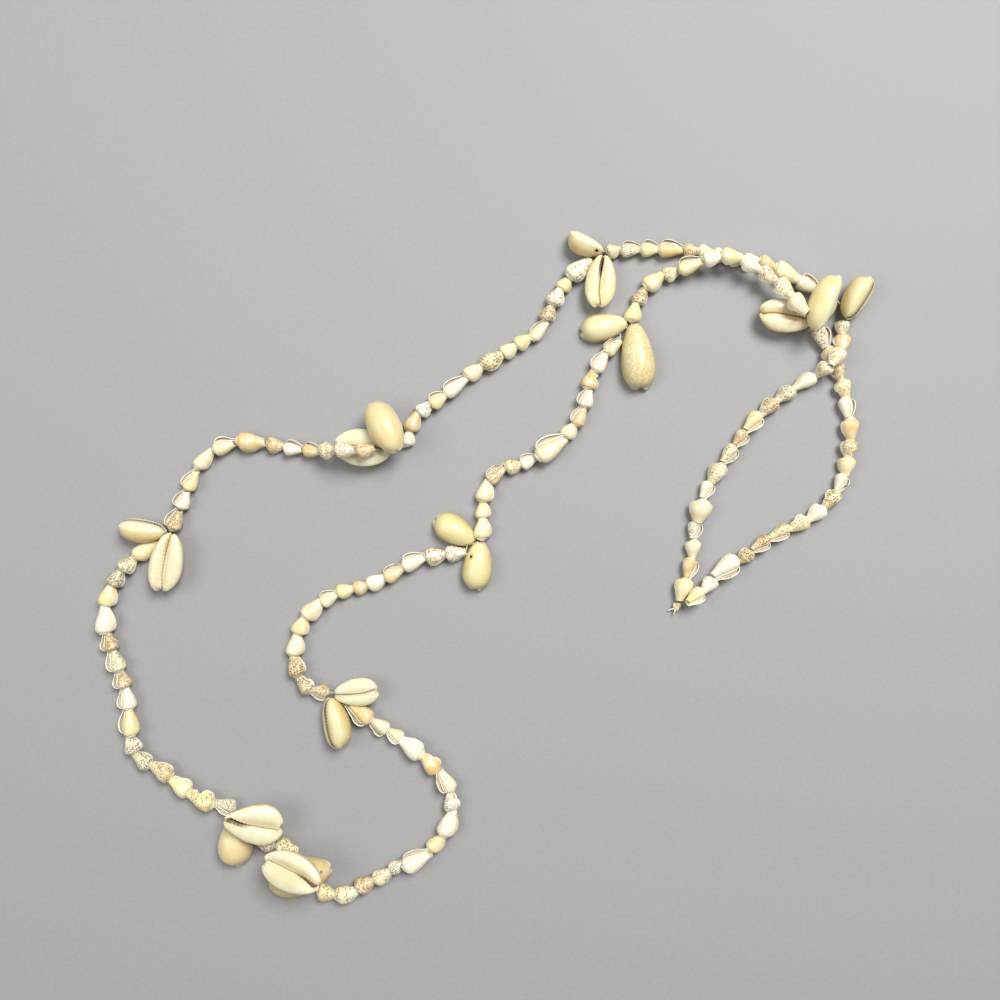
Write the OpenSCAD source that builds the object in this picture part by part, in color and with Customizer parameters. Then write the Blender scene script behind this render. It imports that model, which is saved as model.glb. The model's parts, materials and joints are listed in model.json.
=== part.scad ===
// Shell necklace: one closed string of small pierced sea snails with ten pairs of drilled cowries.
// It lies flat in two long lobes that cross beside the knot that closes it.
// Millimetres, +Z up, the origin under the middle of the lying necklace.

/* [Small shells] */
// Size of every small shell beside the kinds listed below
shell_scale = 1.0; // [0.94:0.01:1.02]
// Where a small shell is widest, as a share of its length from the pierced spire
widest_at = 0.37; // [0.32:0.01:0.42]
// Depth of the mouth as a share of the shell's radius
mouth_depth = 0.55; // [0.3:0.05:0.7]

/* [Cowries] */
// Thickness of a cowrie's wall
cowrie_wall = 1.2; // [0.9:0.1:1.5]
// Width of the long slit in its base
slit_w = 1.0; // [0.8:0.1:1.8]

/* [Thread] */
// Diameter of the thread
thread_d = 0.5; // [0.4:0.05:0.6]
// Diameter of the holes drilled through the cowries for it
drill_d = 1.3; // [1.1:0.1:1.5]
// Diameter of the joint that the thread and the nested tips make inside a strand
core_d = 1.1; // [0.9:0.1:1.3]
// Diameter of the knot
knot_d = 3.8; // [3:0.1:4.2]

/* [Hidden] */
$fn = 48;

// Small shells by kind: letter, length along the thread, width
SHELL_KINDS = [
    ["a", 7.2, 6.0], ["b", 8.0, 6.3], ["c", 8.4, 7.1], ["d", 9.4, 6.7], ["e", 10.1, 7.3],
    ["f", 11.3, 7.4], ["g", 12.5, 8.0], ["h", 13.8, 9.2], ["i", 15.8, 9.6], ["m", 12.6, 6.8],
    ["n", 11.2, 6.1], ["w", 10.4, 9.0]
];

// A mouth's turn round the shell's axis: letter, degrees from straight down
MOUTHS = [["d", 0], ["l", 115], ["u", 100]];

// Strands, all run towards the knot: name, shell kinds, mouths,
// and the way of the thread as x, y and the height of the shells' undersides
STRANDS = [
    ["shells_a1", "acdbnddebdebwbbde", "dddddddllldldudld",
        [[150.5, 104, 0], [150, 98, 0.3], [148.4, 91.6, 4.6], [144.2, 85.8, 8], [139.4, 81.3, 3],
         [132.5, 77, 0], [121, 69, 0], [111.5, 59, 0], [103, 47.5, 0], [97.5, 40, 0], [92, 29, 0], [88.5, 16, 0], [86.5, 0, 0],
         [83.5, -8, 0], [82, -13.5, 0]]],
    ["shells_a2", "adcfaaaaabgf", "dllldddddddl",
        [[50.8, 132.5, 0], [62, 134, 0], [78.5, 134, 0], [93, 132.5, 0], [105, 129.5, 0],
         [116, 128.5, 0], [126, 123.5, 0], [136, 119, 0], [140.5, 116, 0]]],
    ["shells_a3", "adbcmdfbbnbcag", "dddluddddldddd",
        [[-33, 51, 0], [-31, 58, 0], [-28, 64, 0], [-18, 72, 0], [-4.5, 82, 0], [10, 91, 0],
         [22, 99, 0], [27, 107, 0], [32, 116.5, 0], [39, 124.5, 0], [44.1, 128.1, 0]]],
    ["shells_a4", "ecdnegbcdcdb", "llududdllddd",
        [[-132, 15.5, 0], [-127.5, 27, 0], [-124, 35.5, 0], [-119.5, 43, 0], [-113, 50, 0],
         [-102, 52.5, 0], [-91, 51.5, 0], [-75, 50, 0.5], [-67, 49, 4.5], [-58.5, 49, 10.7],
         [-50, 48.5, 11], [-44.5, 50, 11.2]]],
    ["shells_a5", "dgffdcgececgeccm", "ldddddullllddddd",
        [[-105, -101.5, 0], [-117.5, -97.5, 0], [-127, -92, 0], [-135, -85.5, 0], [-143.5, -81, 0],
         [-148, -74, 0], [-149.5, -62, 0], [-151, -52, 0], [-155, -40, 0], [-158.5, -28, 0],
         [-158.5, -15, 0], [-154, -4, 0], [-146, 4.5, 0], [-137.8, 10.3, 0]]],
    ["shells_b1", "ecbcdeccbdddndbhbd", "udddldddldddlldldl",
        [[140.5, 101, 0], [143, 94, 0], [147.5, 85, 0], [149.5, 79, 0], [152, 70, 0], [153.5, 58, 0],
         [152.5, 47, 0], [150, 35.5, 0], [144, 27, 0], [136, 20.5, 0], [121, 12.5, 0], [110, 5, 0],
         [99, -2, 0], [92, -9.2, 2], [85, -14.4, 4.6]]],
    ["shells_b2", "cbebfbdddee", "ddddldddddd",
        [[61.5, 103, 0], [65, 113, 0], [71, 120, 0], [78.5, 123.5, 0.5], [86, 126.5, 4],
         [95, 128.5, 6.5], [103.5, 129, 7], [111, 125.6, 6], [117.8, 121.5, 5.5], [123.8, 115.8, 7.5],
         [128.4, 109, 11.2], [132, 105.2, 11.6]]],
    ["shells_b3", "ebeebbibdcded", "dddldludlldll",
        [[-1, 11.5, 0], [-0.5, 18, 0], [-0.5, 26, 0], [1.5, 35, 0], [6, 41, 0], [13, 42.5, 0],
         [20, 46, 0], [28, 51, 0], [36, 57.5, 0], [41, 67, 0], [44.5, 78, 0], [48.5, 87, 0],
         [53.5, 93, 0], [57, 95.6, 0.5]]],
    ["shells_b4", "bdeecfcbadefed", "udddddldddludd",
        [[-65.5, -52.5, 0], [-72, -52, 0], [-77, -47, 0], [-79.5, -38.5, 0], [-78.5, -29.5, 0],
         [-75.5, -22, 0], [-69, -15, 0], [-62.5, -11, 0], [-50, -8, 0], [-43.5, -5, 0],
         [-36, -0.5, 0], [-28.5, 3.5, 0], [-19.5, 5, 0], [-8.3, 6.4, 1]]],
    ["shells_b5", "cfcdahdgdfegbdg", "dddddudddlddlul",
        [[-70.2, -136, 0], [-60, -137.8, 0], [-52, -134, 0], [-44, -130.5, 0], [-37, -126, 0],
         [-29, -122, 0], [-20.5, -116.5, 0], [-15, -108, 0], [-14, -97, 0], [-19, -86.5, 0],
         [-29, -76.5, 0], [-44, -67, 0], [-51.5, -62, 0], [-56.6, -57.8, 0]]],
    ["front_a", "e", "d", [[-88, -116.5, 0], [-96.5, -113.3, 0]]],
    ["front_b", "e", "d", [[-87.5, -116.5, 0], [-78.5, -119.5, 0]]]
];

// Ways of the bare thread from a strand's last tip through the narrow ends of a pair
// to just before the next strand's spire
WAYS = [
    ["a1", [[140.3, 116.1, 3.4], [145.3, 115.1, 3.2], [152, 106.8, 6.2], [150.7, 105.1, 4]]],
    ["a2", [[44, 128, 3.7], [49.4, 127.7, 6.3], [47.3, 133.1, 5.9], [50.4, 132.5, 4.2]]],
    ["a3", [[-45, 49.6, 14.6], [-41.5, 49.3, 7.6], [-36, 51.2, 14.4], [-33.4, 50.5, 4.6]]],
    ["a4", [[-137.8, 10.6, 3.6], [-135.9, 14.9, 5.6], [-130.4, 11.7, 7], [-131.8, 15.1, 3.9]]],
    ["a5", [[-96.6, -113.2, 3.5], [-103.3, -107.3, 4.2], [-102.9, -102.6, 14.6], [-104.4, -101.6, 4.9]]],
    ["b1", [[132.2, 105, 14.8], [133.6, 103.6, 6.8], [136.6, 100.5, 14], [139.6, 101.2, 4.9]]],
    ["b2", [[57, 95.7, 4], [56.8, 102.2, 3.4], [63, 98.7, 4.2], [61.6, 102.3, 3.8]]],
    ["b3", [[-7.9, 6.5, 4.2], [-6.6, 11.8, 3.6], [-2.2, 8.2, 3.8], [-1.4, 10.9, 3.7]]],
    ["b4", [[-56.8, -57.7, 3.8], [-63.7, -56.9, 6.2], [-59.4, -52.4, 5.8], [-64.7, -52.5, 3.6]]],
    ["b5", [[-79.5, -119, 3.6], [-67.8, -127.2, 4.4], [-69.2, -126, 17.6], [-70.4, -134.9, 5]]]
];

// Cowries in pairs: name, pair, x and y of the narrow end, height of the axis there, heading,
// pitch, roll (0 back up, 180 slit up), length, width, height over the base,
// where a second hole is drilled: distance from the narrow end, turn round the axis,
// how far the width leans to the broad end, and how round the ends are (0.5 an ellipse, less is blunter)
COWRIES = [
    ["cowrie_a1_one", "a1", 150.7, 104.6, 6.4, 58, 0, -122, 18.9, 12.5, 10.2, 0, 0, 0.2, 0.46],
    ["cowrie_a1_two", "a1", 146.2, 117.5, 2.4, 249, 0, 0, 14, 9.2, 7, 0, 0, 0.16, 0.5],
    ["cowrie_a2_one", "a2", 49.6, 131.9, 5.9, 152, 0, -108, 15.6, 11.5, 9, 2.4, 83, 0.25, 0.46],
    ["cowrie_a2_two", "a2", 49.8, 130.2, 6.3, 264, 0, 180, 21, 12.6, 9.5, 0, 0, 0.18, 0.46],
    ["cowrie_a3_one", "a3", -34.8, 48.7, 16.6, 119, -13, 0, 23, 13.4, 10, 0, 0, 0.08, 0.46],
    ["cowrie_a3_two", "a3", -38.9, 49.2, 7.6, 175, 0, 180, 22, 15.2, 10.2, 0, 0, 0.05, 0.47],
    ["cowrie_a4_one", "a4", -133.3, 14.6, 5.8, 172, 0, -104, 18.8, 11, 10.2, 0, 0, 0.18, 0.43],
    ["cowrie_a4_two", "a4", -129.9, 14.2, 6.8, 259, 0, 180, 23.4, 13.6, 10.5, 0, 0, 0.16, 0.44],
    ["cowrie_a5_one", "a5", -105.3, -102.3, 15, -12, -14, 180, 22.4, 16.6, 11.2, 0, 0, 0.38, 0.48],
    ["cowrie_a5_two", "a5", -102.9, -104.5, 3.3, -98, 0, 0, 20.5, 14.4, 10.5, 0, 0, 0.2, 0.5],
    ["cowrie_b1_one", "b1", 136.2, 103.1, 6.8, 170, 0, 180, 21.1, 13.6, 10.3, 0, 0, 0.16, 0.5],
    ["cowrie_b1_two", "b1", 135.7, 98.1, 14.1, 68, 0, -92, 23.8, 13.6, 10.7, 0, 0, 0.1, 0.48],
    ["cowrie_b2_one", "b2", 59.9, 102.9, 3.1, 191, 0, 0, 19.3, 11.4, 8.8, 0, 0, 0.25, 0.46],
    ["cowrie_b2_two", "b2", 62.8, 102.3, 4, -84, 0, 0, 27, 14, 11, 0, 0, 0.26, 0.4],
    ["cowrie_b3_one", "b3", -4.5, 10.8, 3.3, 149, 0, 0, 18.4, 11.8, 9.2, 0, 0, 0.18, 0.48],
    ["cowrie_b3_two", "b3", -1.9, 10.6, 3.5, -96, 0, 0, 19.6, 12.2, 9.6, 6.1, 34, 0.16, 0.45],
    ["cowrie_b4_one", "b4", -62.2, -52.6, 5.8, 5, 0, 180, 17.4, 11.5, 9, 0, 0, 0.22, 0.42],
    ["cowrie_b4_two", "b4", -64.2, -54.2, 6.3, -79, 0, -130, 20.8, 12.6, 10.9, 0, 0, 0.26, 0.48],
    ["cowrie_b5_one", "b5", -65.9, -127.1, 18.4, 160, -6, 180, 24, 15.6, 10.2, 0, 0, 0.12, 0.45],
    ["cowrie_b5_two", "b5", -65, -126.6, 2.3, 195, 0, 0, 26.4, 15.6, 10.1, 0, 0, 0.16, 0.48]
];

// A row of a table by its first column
function row(table, name) = table[search([name], table, 1, 0)[0]];
function total(list, count) = count == 0 ? 0 : list[count - 1] + total(list, count - 1);

// A smooth curve through a route's points, and its length up to each fine point
steps = 8;
function curve(p, i, t) =
    let (a = p[max(i - 1, 0)], b = p[i], c = p[i + 1], d = p[min(i + 2, len(p) - 1)])
    0.5 * (2 * b + (c - a) * t + (2 * a - 5 * b + 4 * c - d) * t * t + (3 * b - a - 3 * c + d) * t * t * t);
function fine(p) = concat([for (i = [0:len(p) - 2]) for (k = [0:steps - 1]) curve(p, i, k / steps)],
    [p[len(p) - 1]]);
function spans(q) = [for (i = [1:len(q) - 1]) norm(q[i] - q[i - 1])];
function at(q, lengths, s) =
    let (p = [for (k = [0:2]) lookup(s, [for (i = [0:len(q) - 1]) [lengths[i], q[i][k]]])])
    [p.x, p.y, max(p.z, 0)];

// Each shell of a strand: place of its widest section, direction, length, radius, mouth
function shells(strand) =
    let (
        q = fine(strand[3]),
        span = spans(q),
        lengths = [for (i = [0:len(q) - 1]) total(span, i)],
        kinds = [for (letter = strand[1]) row(SHELL_KINDS, letter)],
        long = [for (k = kinds) k[1]],
        share = lengths[len(q) - 1] / total(long, len(long))
    )
    [for (i = [0:len(kinds) - 1])
        let (
            start = share * total(long, i),
            pitch = share * long[i],
            radius = kinds[i][2] / 2 * shell_scale,
            way = at(q, lengths, start + pitch) - at(q, lengths, start)
        )
        [at(q, lengths, start + pitch * widest_at) + [0, 0, radius], way / norm(way),
            long[i] * shell_scale, radius, row(MOUTHS, strand[2][i])[1]]];

// Turns +Z to a direction
module along(direction) {
    rotate([0, acos(direction.z), atan2(direction.y, direction.x)]) children();
}

// A round rod between two points
module rod(from, to, d) {
    translate(from) along((to - from) / norm(to - from)) cylinder(h = norm(to - from), d = d);
}

module rods(points, d) {
    for (i = [0:len(points) - 2]) rod(points[i], points[i + 1], d);
}

// A bent thread: rods with a slightly fuller round joint at each bend
bend_share = 1.3;
module thread(points, d) {
    rods(points, d);
    for (i = [1:1:len(points) - 2]) translate(points[i]) sphere(d = bend_share * d);
}

// Outline of a small shell from the pierced spire to the tip: share of the radius, share of the length
SHELL_OUTLINE = [
    [0, 0], [0.3, 0], [0.66, 0.11], [0.96, 0.27], [1, widest_at], [0.86, 0.52], [0.44, 0.78],
    [0.22, 1], [0, 1]
];
// Where the mouth starts and how long it is, as shares of the length, and its lean to the tip
mouth_from = 0.42;
mouth_long = 0.5;
mouth_lean = 12;

// One small shell, spire end at the origin, tip along +Z
module shell(long, r, mouth) {
    rotate([0, 0, mouth]) difference() {
        rotate_extrude() polygon([for (p = SHELL_OUTLINE) [p.x * r, p.y * long]]);
        translate([r * (1 - mouth_depth), 0, mouth_from * long]) rotate([0, -mouth_lean, 0])
            rotate([0, 0, -45]) cube([r, r, mouth_long * long]);
    }
}

// The shells of one strand, joined along their thread, which leads on through the next pair
module string_of_shells(name, way) {
    row_of = shells(row(STRANDS, name));
    for (s = row_of) translate(s[0] - s[1] * s[2] * widest_at) along(s[1]) shell(s[2], s[3], s[4]);
    if (len(row_of) > 1) rods([for (s = row_of) s[0]], core_d);
    if (way != "") thread(concat([row_of[len(row_of) - 1][0]], row(WAYS, way)[1]), thread_d);
}

// A cowrie's egg outline, as radius over length
outline_steps = 12;
function plain_egg(t, taper, blunt) = pow(4 * t * (1 - t), blunt) * (1 - taper + 2 * taper * t);
function egg(t, taper, blunt) =
    plain_egg(t, taper, blunt) / max([for (k = [1:99]) plain_egg(k / 100, taper, blunt)]);

module egg_solid(long, width, taper, blunt) {
    rotate([0, 90, 0]) rotate_extrude() polygon(concat(
        [[0, 0]],
        [for (i = [0:outline_steps]) let (t = (1 - cos(180 * i / outline_steps)) / 2)
            [width / 2 * egg(t, taper, blunt), long * t]],
        [[0, long]]
    ));
}

// Lobes of the lips at the broad end, the left one longer, as shares of the width,
// and how far they lie under the axis, as a share of its height over the base
lobe_d = 0.28;
lobe_side = 0.15;
lobe_in = [0.07, 0.10];
lobe_sink = 0.3;
// What the slit leaves whole at each end, as a share of the length
slit_end = 0.04;

// One hollow cowrie, narrow end at the origin, back up
module cowrie_shell(long, width, high, hole_at, hole_turn, taper, blunt) {
    axis_h = high - width / 2;
    difference() {
        union() {
            egg_solid(long, width, taper, blunt);
            for (i = [0, 1])
                translate([long - lobe_in[i] * width, (1 - 2 * i) * lobe_side * width, -lobe_sink * axis_h])
                    sphere(d = lobe_d * width);
        }
        translate([-1, -width, -axis_h - width]) cube([long + 2, 2 * width, width]);
        difference() {
            translate([cowrie_wall, 0, 0])
                egg_solid(long - 2 * cowrie_wall, width - 2 * cowrie_wall, taper, blunt);
            translate([-1, -width, cowrie_wall - axis_h - width]) cube([long + 2, 2 * width, width]);
        }
        translate([slit_end * long, -slit_w / 2, -axis_h - 1])
            cube([(1 - 2 * slit_end) * long, slit_w, axis_h + 1]);
        if (hole_at > 0) translate([hole_at, 0, 0]) rotate([hole_turn, 0, 0]) cylinder(h = width, d = drill_d);
    }
}

module cowrie(name) {
    c = row(COWRIES, name);
    color("wheat") difference() {
        translate([c[2], c[3], c[4]]) rotate([0, -c[6], c[5]]) rotate([c[7], 0, 0])
            cowrie_shell(c[8], c[9], c[10], c[11], c[12], c[13], c[14]);
        rods(row(WAYS, c[1])[1], drill_d);
    }
}

module strand(name, way) {
    color("moccasin") string_of_shells(name, way);
}

// The two front shells, back to back on one joint
front_joint = [[-92, -115, 3.7], [-83, -117.5, 3.7]];
module front_shells() {
    color("navajowhite") union() {
        string_of_shells("front_a", "a5");
        string_of_shells("front_b", "b5");
        rods(front_joint, core_d);
    }
}

// The knot: a few turns of thread drawn tight round a core, each leaning the other way, and two cut ends
knot_at = [80.9, -16.4, 2];
knot_heading = 230;
knot_turns = 4;
knot_core = 0.75;
turn_d = 1.3;
turn_pitch = 1.05;
turn_lean = 6;
tail_from = [1, 0, 0];
tails_to = [[3.8, 1.4, -0.8], [3.9, -1.2, -0.6]];
module knot() {
    color("tan") translate(knot_at) rotate([0, 0, knot_heading]) {
        sphere(d = knot_d * knot_core);
        for (i = [0:knot_turns - 1]) translate([(i - (knot_turns - 1) / 2) * turn_pitch, 0, 0])
            rotate([0, 90, turn_lean * (2 * (i % 2) - 1)]) rotate_extrude()
                translate([(knot_d - turn_d) / 2, 0, 0]) circle(d = turn_d);
        for (to = tails_to) rod(tail_from, to, thread_d);
    }
}

for (c = COWRIES) cowrie(c[0]);
strand("shells_a1", "");  // shells_a1
strand("shells_a2", "a1");  // shells_a2
strand("shells_a3", "a2");  // shells_a3
strand("shells_a4", "a3");  // shells_a4
strand("shells_a5", "a4");  // shells_a5
strand("shells_b1", "");  // shells_b1
strand("shells_b2", "b1");  // shells_b2
strand("shells_b3", "b2");  // shells_b3
strand("shells_b4", "b3");  // shells_b4
strand("shells_b5", "b4");  // shells_b5
front_shells();  // shells_front
knot();
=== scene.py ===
"""Shell necklace: the finish of one closed string of small pierced sea snails with paired cowries.

Every visible piece is built here in metres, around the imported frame. The necklace lies in two long
lobes on a surface, and its tables say how it lies, in millimetres.
"""

import json
import math
import random

import bmesh
import bpy
import numpy as np
from mathutils import Matrix, Vector

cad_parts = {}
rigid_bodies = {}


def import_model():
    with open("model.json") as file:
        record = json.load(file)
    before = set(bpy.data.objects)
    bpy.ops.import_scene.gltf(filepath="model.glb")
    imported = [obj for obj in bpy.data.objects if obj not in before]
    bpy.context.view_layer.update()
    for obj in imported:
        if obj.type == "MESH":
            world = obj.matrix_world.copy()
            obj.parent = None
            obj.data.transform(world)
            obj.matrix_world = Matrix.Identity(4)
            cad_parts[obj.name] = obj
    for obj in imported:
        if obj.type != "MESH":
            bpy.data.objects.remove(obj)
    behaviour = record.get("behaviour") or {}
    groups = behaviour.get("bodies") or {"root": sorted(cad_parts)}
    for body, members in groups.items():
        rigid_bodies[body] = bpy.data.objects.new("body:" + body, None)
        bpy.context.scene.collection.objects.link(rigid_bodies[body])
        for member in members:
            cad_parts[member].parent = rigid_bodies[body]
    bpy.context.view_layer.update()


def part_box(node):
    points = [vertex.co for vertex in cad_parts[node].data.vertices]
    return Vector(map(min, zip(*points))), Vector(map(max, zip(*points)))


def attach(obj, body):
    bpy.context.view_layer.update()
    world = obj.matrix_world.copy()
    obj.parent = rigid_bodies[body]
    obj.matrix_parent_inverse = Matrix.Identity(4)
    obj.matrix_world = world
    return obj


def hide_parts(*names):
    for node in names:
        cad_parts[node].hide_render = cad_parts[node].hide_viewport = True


bl_info = {
    "name": "Shell Necklace",
    "version": (1, 0, 0),
    "blender": (4, 5, 0),
    "location": "View3D > Sidebar > Necklace",
    "description": "Strings small snail shells and paired cowries on a thread, and lays them "
                   "on a stage",
    "category": "Add Mesh",
}

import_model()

MM = 0.001
BODY = "root"
# How far a finished piece may stand out of its node's box
MOST_STRAY = 1.5 * MM

# Small shells by kind: length along the thread, width
SHELL_KINDS = {
    "a": (7.2, 6.0), "b": (8.0, 6.3), "c": (8.4, 7.1), "d": (9.4, 6.7), "e": (10.1, 7.3),
    "f": (11.3, 7.4), "g": (12.5, 8.0), "h": (13.8, 9.2), "i": (15.8, 9.6), "m": (12.6, 6.8),
    "n": (11.2, 6.1), "w": (10.4, 9.0),
}
# Where a small shell is widest, as a share of its length from the spire
WIDEST_AT = 0.37

# A mouth's turn about the shell's axis, in degrees from straight down
MOUTHS = {"d": 0, "l": 205, "u": 190}

# Strands, all run towards the knot: kinds, mouths and looks of the shells, a letter for each shell,
# and the thread's way as x, y and the height of the shells' undersides
STRANDS = {
    "shells_a1": ("acdbnddebdebwbbde", "dddddddllldldudld", "CtCCwCTyTCCwcWcoy", [
        (150.5, 104, 0), (150, 98, 0.3), (148.4, 91.6, 4.6), (144.2, 85.8, 8), (139.4, 81.3, 3),
        (132.5, 77, 0), (121, 69, 0), (111.5, 59, 0), (103, 47.5, 0), (97.5, 40, 0), (92, 29, 0),
        (88.5, 16, 0), (86.5, 0, 0), (83.5, -8, 0), (82, -13.5, 0)]),
    "shells_a2": ("adcfaaaaabgf", "dllldddddddl", "YCyoTcptwtyp", [
        (50.8, 132.5, 0), (62, 134, 0), (78.5, 134, 0), (93, 132.5, 0), (105, 129.5, 0),
        (116, 128.5, 0), (126, 123.5, 0), (136, 119, 0), (140.5, 116, 0)]),
    "shells_a3": ("adbcmdfbbnbcag", "dddluddddldddd", "woWywcYcycTWyW", [
        (-33, 51, 0), (-31, 58, 0), (-28, 64, 0), (-18, 72, 0), (-4.5, 82, 0), (10, 91, 0),
        (22, 99, 0), (27, 107, 0), (32, 116.5, 0), (39, 124.5, 0), (44.1, 128.1, 0)]),
    "shells_a4": ("ecdnegbcdcdb", "llududdllddd", "TwyccoTwoCPT", [
        (-132, 15.5, 0), (-127.5, 27, 0), (-124, 35.5, 0), (-119.5, 43, 0), (-113, 50, 0),
        (-102, 52.5, 0), (-91, 51.5, 0), (-75, 50, 0.5), (-67, 49, 4.5), (-58.5, 49, 10.7),
        (-50, 48.5, 11), (-44.5, 50, 11.2)]),
    "shells_a5": ("dgffdcgececgeccm", "ldddddullllddddd", "PYyTCWywTCTwyGCy", [
        (-105, -101.5, 0), (-117.5, -97.5, 0), (-127, -92, 0), (-135, -85.5, 0), (-143.5, -81, 0),
        (-148, -74, 0), (-149.5, -62, 0), (-151, -52, 0), (-155, -40, 0), (-158.5, -28, 0),
        (-158.5, -15, 0), (-154, -4, 0), (-146, 4.5, 0), (-137.8, 10.3, 0)]),
    "shells_b1": ("ecbcdeccbdddndbhbd", "udddldddldddlldldl", "PtTYwoCywYwYYTTwwy", [
        (140.5, 101, 0), (143, 94, 0), (147.5, 85, 0), (149.5, 79, 0), (152, 70, 0), (153.5, 58, 0),
        (152.5, 47, 0), (150, 35.5, 0), (144, 27, 0), (136, 20.5, 0), (121, 12.5, 0), (110, 5, 0),
        (99, -2, 0), (92, -9.2, 2), (85, -14.4, 4.6)]),
    "shells_b2": ("cbebfbdddee", "ddddldddddd", "yTyCywywPCc", [
        (61.5, 103, 0), (65, 113, 0), (71, 120, 0), (78.5, 123.5, 0.5), (86, 126.5, 4),
        (95, 128.5, 6.5), (103.5, 129, 7), (111, 125.6, 6), (117.8, 121.5, 5.5),
        (123.8, 115.8, 7.5), (128.4, 109, 11.2), (132, 105.2, 11.6)]),
    "shells_b3": ("ebeebbibdcded", "dddldludlldll", "cycTYwcctwowC", [
        (-1, 11.5, 0), (-0.5, 18, 0), (-0.5, 26, 0), (1.5, 35, 0), (6, 41, 0), (13, 42.5, 0),
        (20, 46, 0), (28, 51, 0), (36, 57.5, 0), (41, 67, 0), (44.5, 78, 0), (48.5, 87, 0),
        (53.5, 93, 0), (57, 95.6, 0.5)]),
    "shells_b4": ("bdeecfcbadefed", "udddddldddludd", "TGTcyccyowowPW", [
        (-65.5, -52.5, 0), (-72, -52, 0), (-77, -47, 0), (-79.5, -38.5, 0), (-78.5, -29.5, 0),
        (-75.5, -22, 0), (-69, -15, 0), (-62.5, -11, 0), (-50, -8, 0), (-43.5, -5, 0),
        (-36, -0.5, 0), (-28.5, 3.5, 0), (-19.5, 5, 0), (-8.3, 6.4, 1)]),
    "shells_b5": ("cfcdahdgdfegbdg", "dddddudddlddlul", "YCTCWwywWcowcpo", [
        (-70.2, -136, 0), (-60, -137.8, 0), (-52, -134, 0), (-44, -130.5, 0), (-37, -126, 0),
        (-29, -122, 0), (-20.5, -116.5, 0), (-15, -108, 0), (-14, -97, 0), (-19, -86.5, 0),
        (-29, -76.5, 0), (-44, -67, 0), (-51.5, -62, 0), (-56.6, -57.8, 0)]),
    "front_a": ("e", "d", "P", [(-88, -116.5, 0), (-96.5, -113.3, 0)]),
    "front_b": ("e", "d", "Y", [(-87.5, -116.5, 0), (-78.5, -119.5, 0)]),
}

# Steps between two points of a strand's way
ROUTE_STEPS = 8
# Where the thread bends inside each shell, as shares of its length
THREAD_BENDS = (0.1, 0.9)

# The strands of each finished piece, with the pair that each strand's thread leads on through
STRINGS = {f"shells_{way}{i}": [(f"shells_{way}{i}", f"{way}{i - 1}" if i > 1 else None)]
           for way in "ab" for i in range(1, 6)}
STRINGS["shells_front"] = [("front_a", "a5"), ("front_b", "b5")]

# Ways of the bare thread through the narrow ends of each pair
WAYS = {
    "a1": [(140.3, 116.1, 3.4), (145.3, 115.1, 3.2), (152, 106.8, 6.2), (150.7, 105.1, 4)],
    "a2": [(44, 128, 3.7), (49.4, 127.7, 6.3), (47.3, 133.1, 5.9), (50.4, 132.5, 4.2)],
    "a3": [(-45, 49.6, 14.6), (-41.5, 49.3, 7.6), (-36, 51.2, 14.4), (-33.4, 50.5, 4.6)],
    "a4": [(-137.8, 10.6, 3.6), (-135.9, 14.9, 5.6), (-130.4, 11.7, 7), (-131.8, 15.1, 3.9)],
    "a5": [(-96.6, -113.2, 3.5), (-103.3, -107.3, 4.2), (-102.9, -102.6, 14.6),
           (-104.4, -101.6, 4.9)],
    "b1": [(132.2, 105, 14.8), (133.6, 103.6, 6.8), (136.6, 100.5, 14), (139.6, 101.2, 4.9)],
    "b2": [(57, 95.7, 4), (56.8, 102.2, 3.4), (63, 98.7, 4.2), (61.6, 102.3, 3.8)],
    "b3": [(-7.9, 6.5, 4.2), (-6.6, 11.8, 3.6), (-2.2, 8.2, 3.8), (-1.4, 10.9, 3.7)],
    "b4": [(-56.8, -57.7, 3.8), (-63.7, -56.9, 6.2), (-59.4, -52.4, 5.8), (-64.7, -52.5, 3.6)],
    "b5": [(-79.5, -119, 3.6), (-67.8, -127.2, 4.4), (-69.2, -126, 17.6), (-70.4, -134.9, 5)],
}

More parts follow.
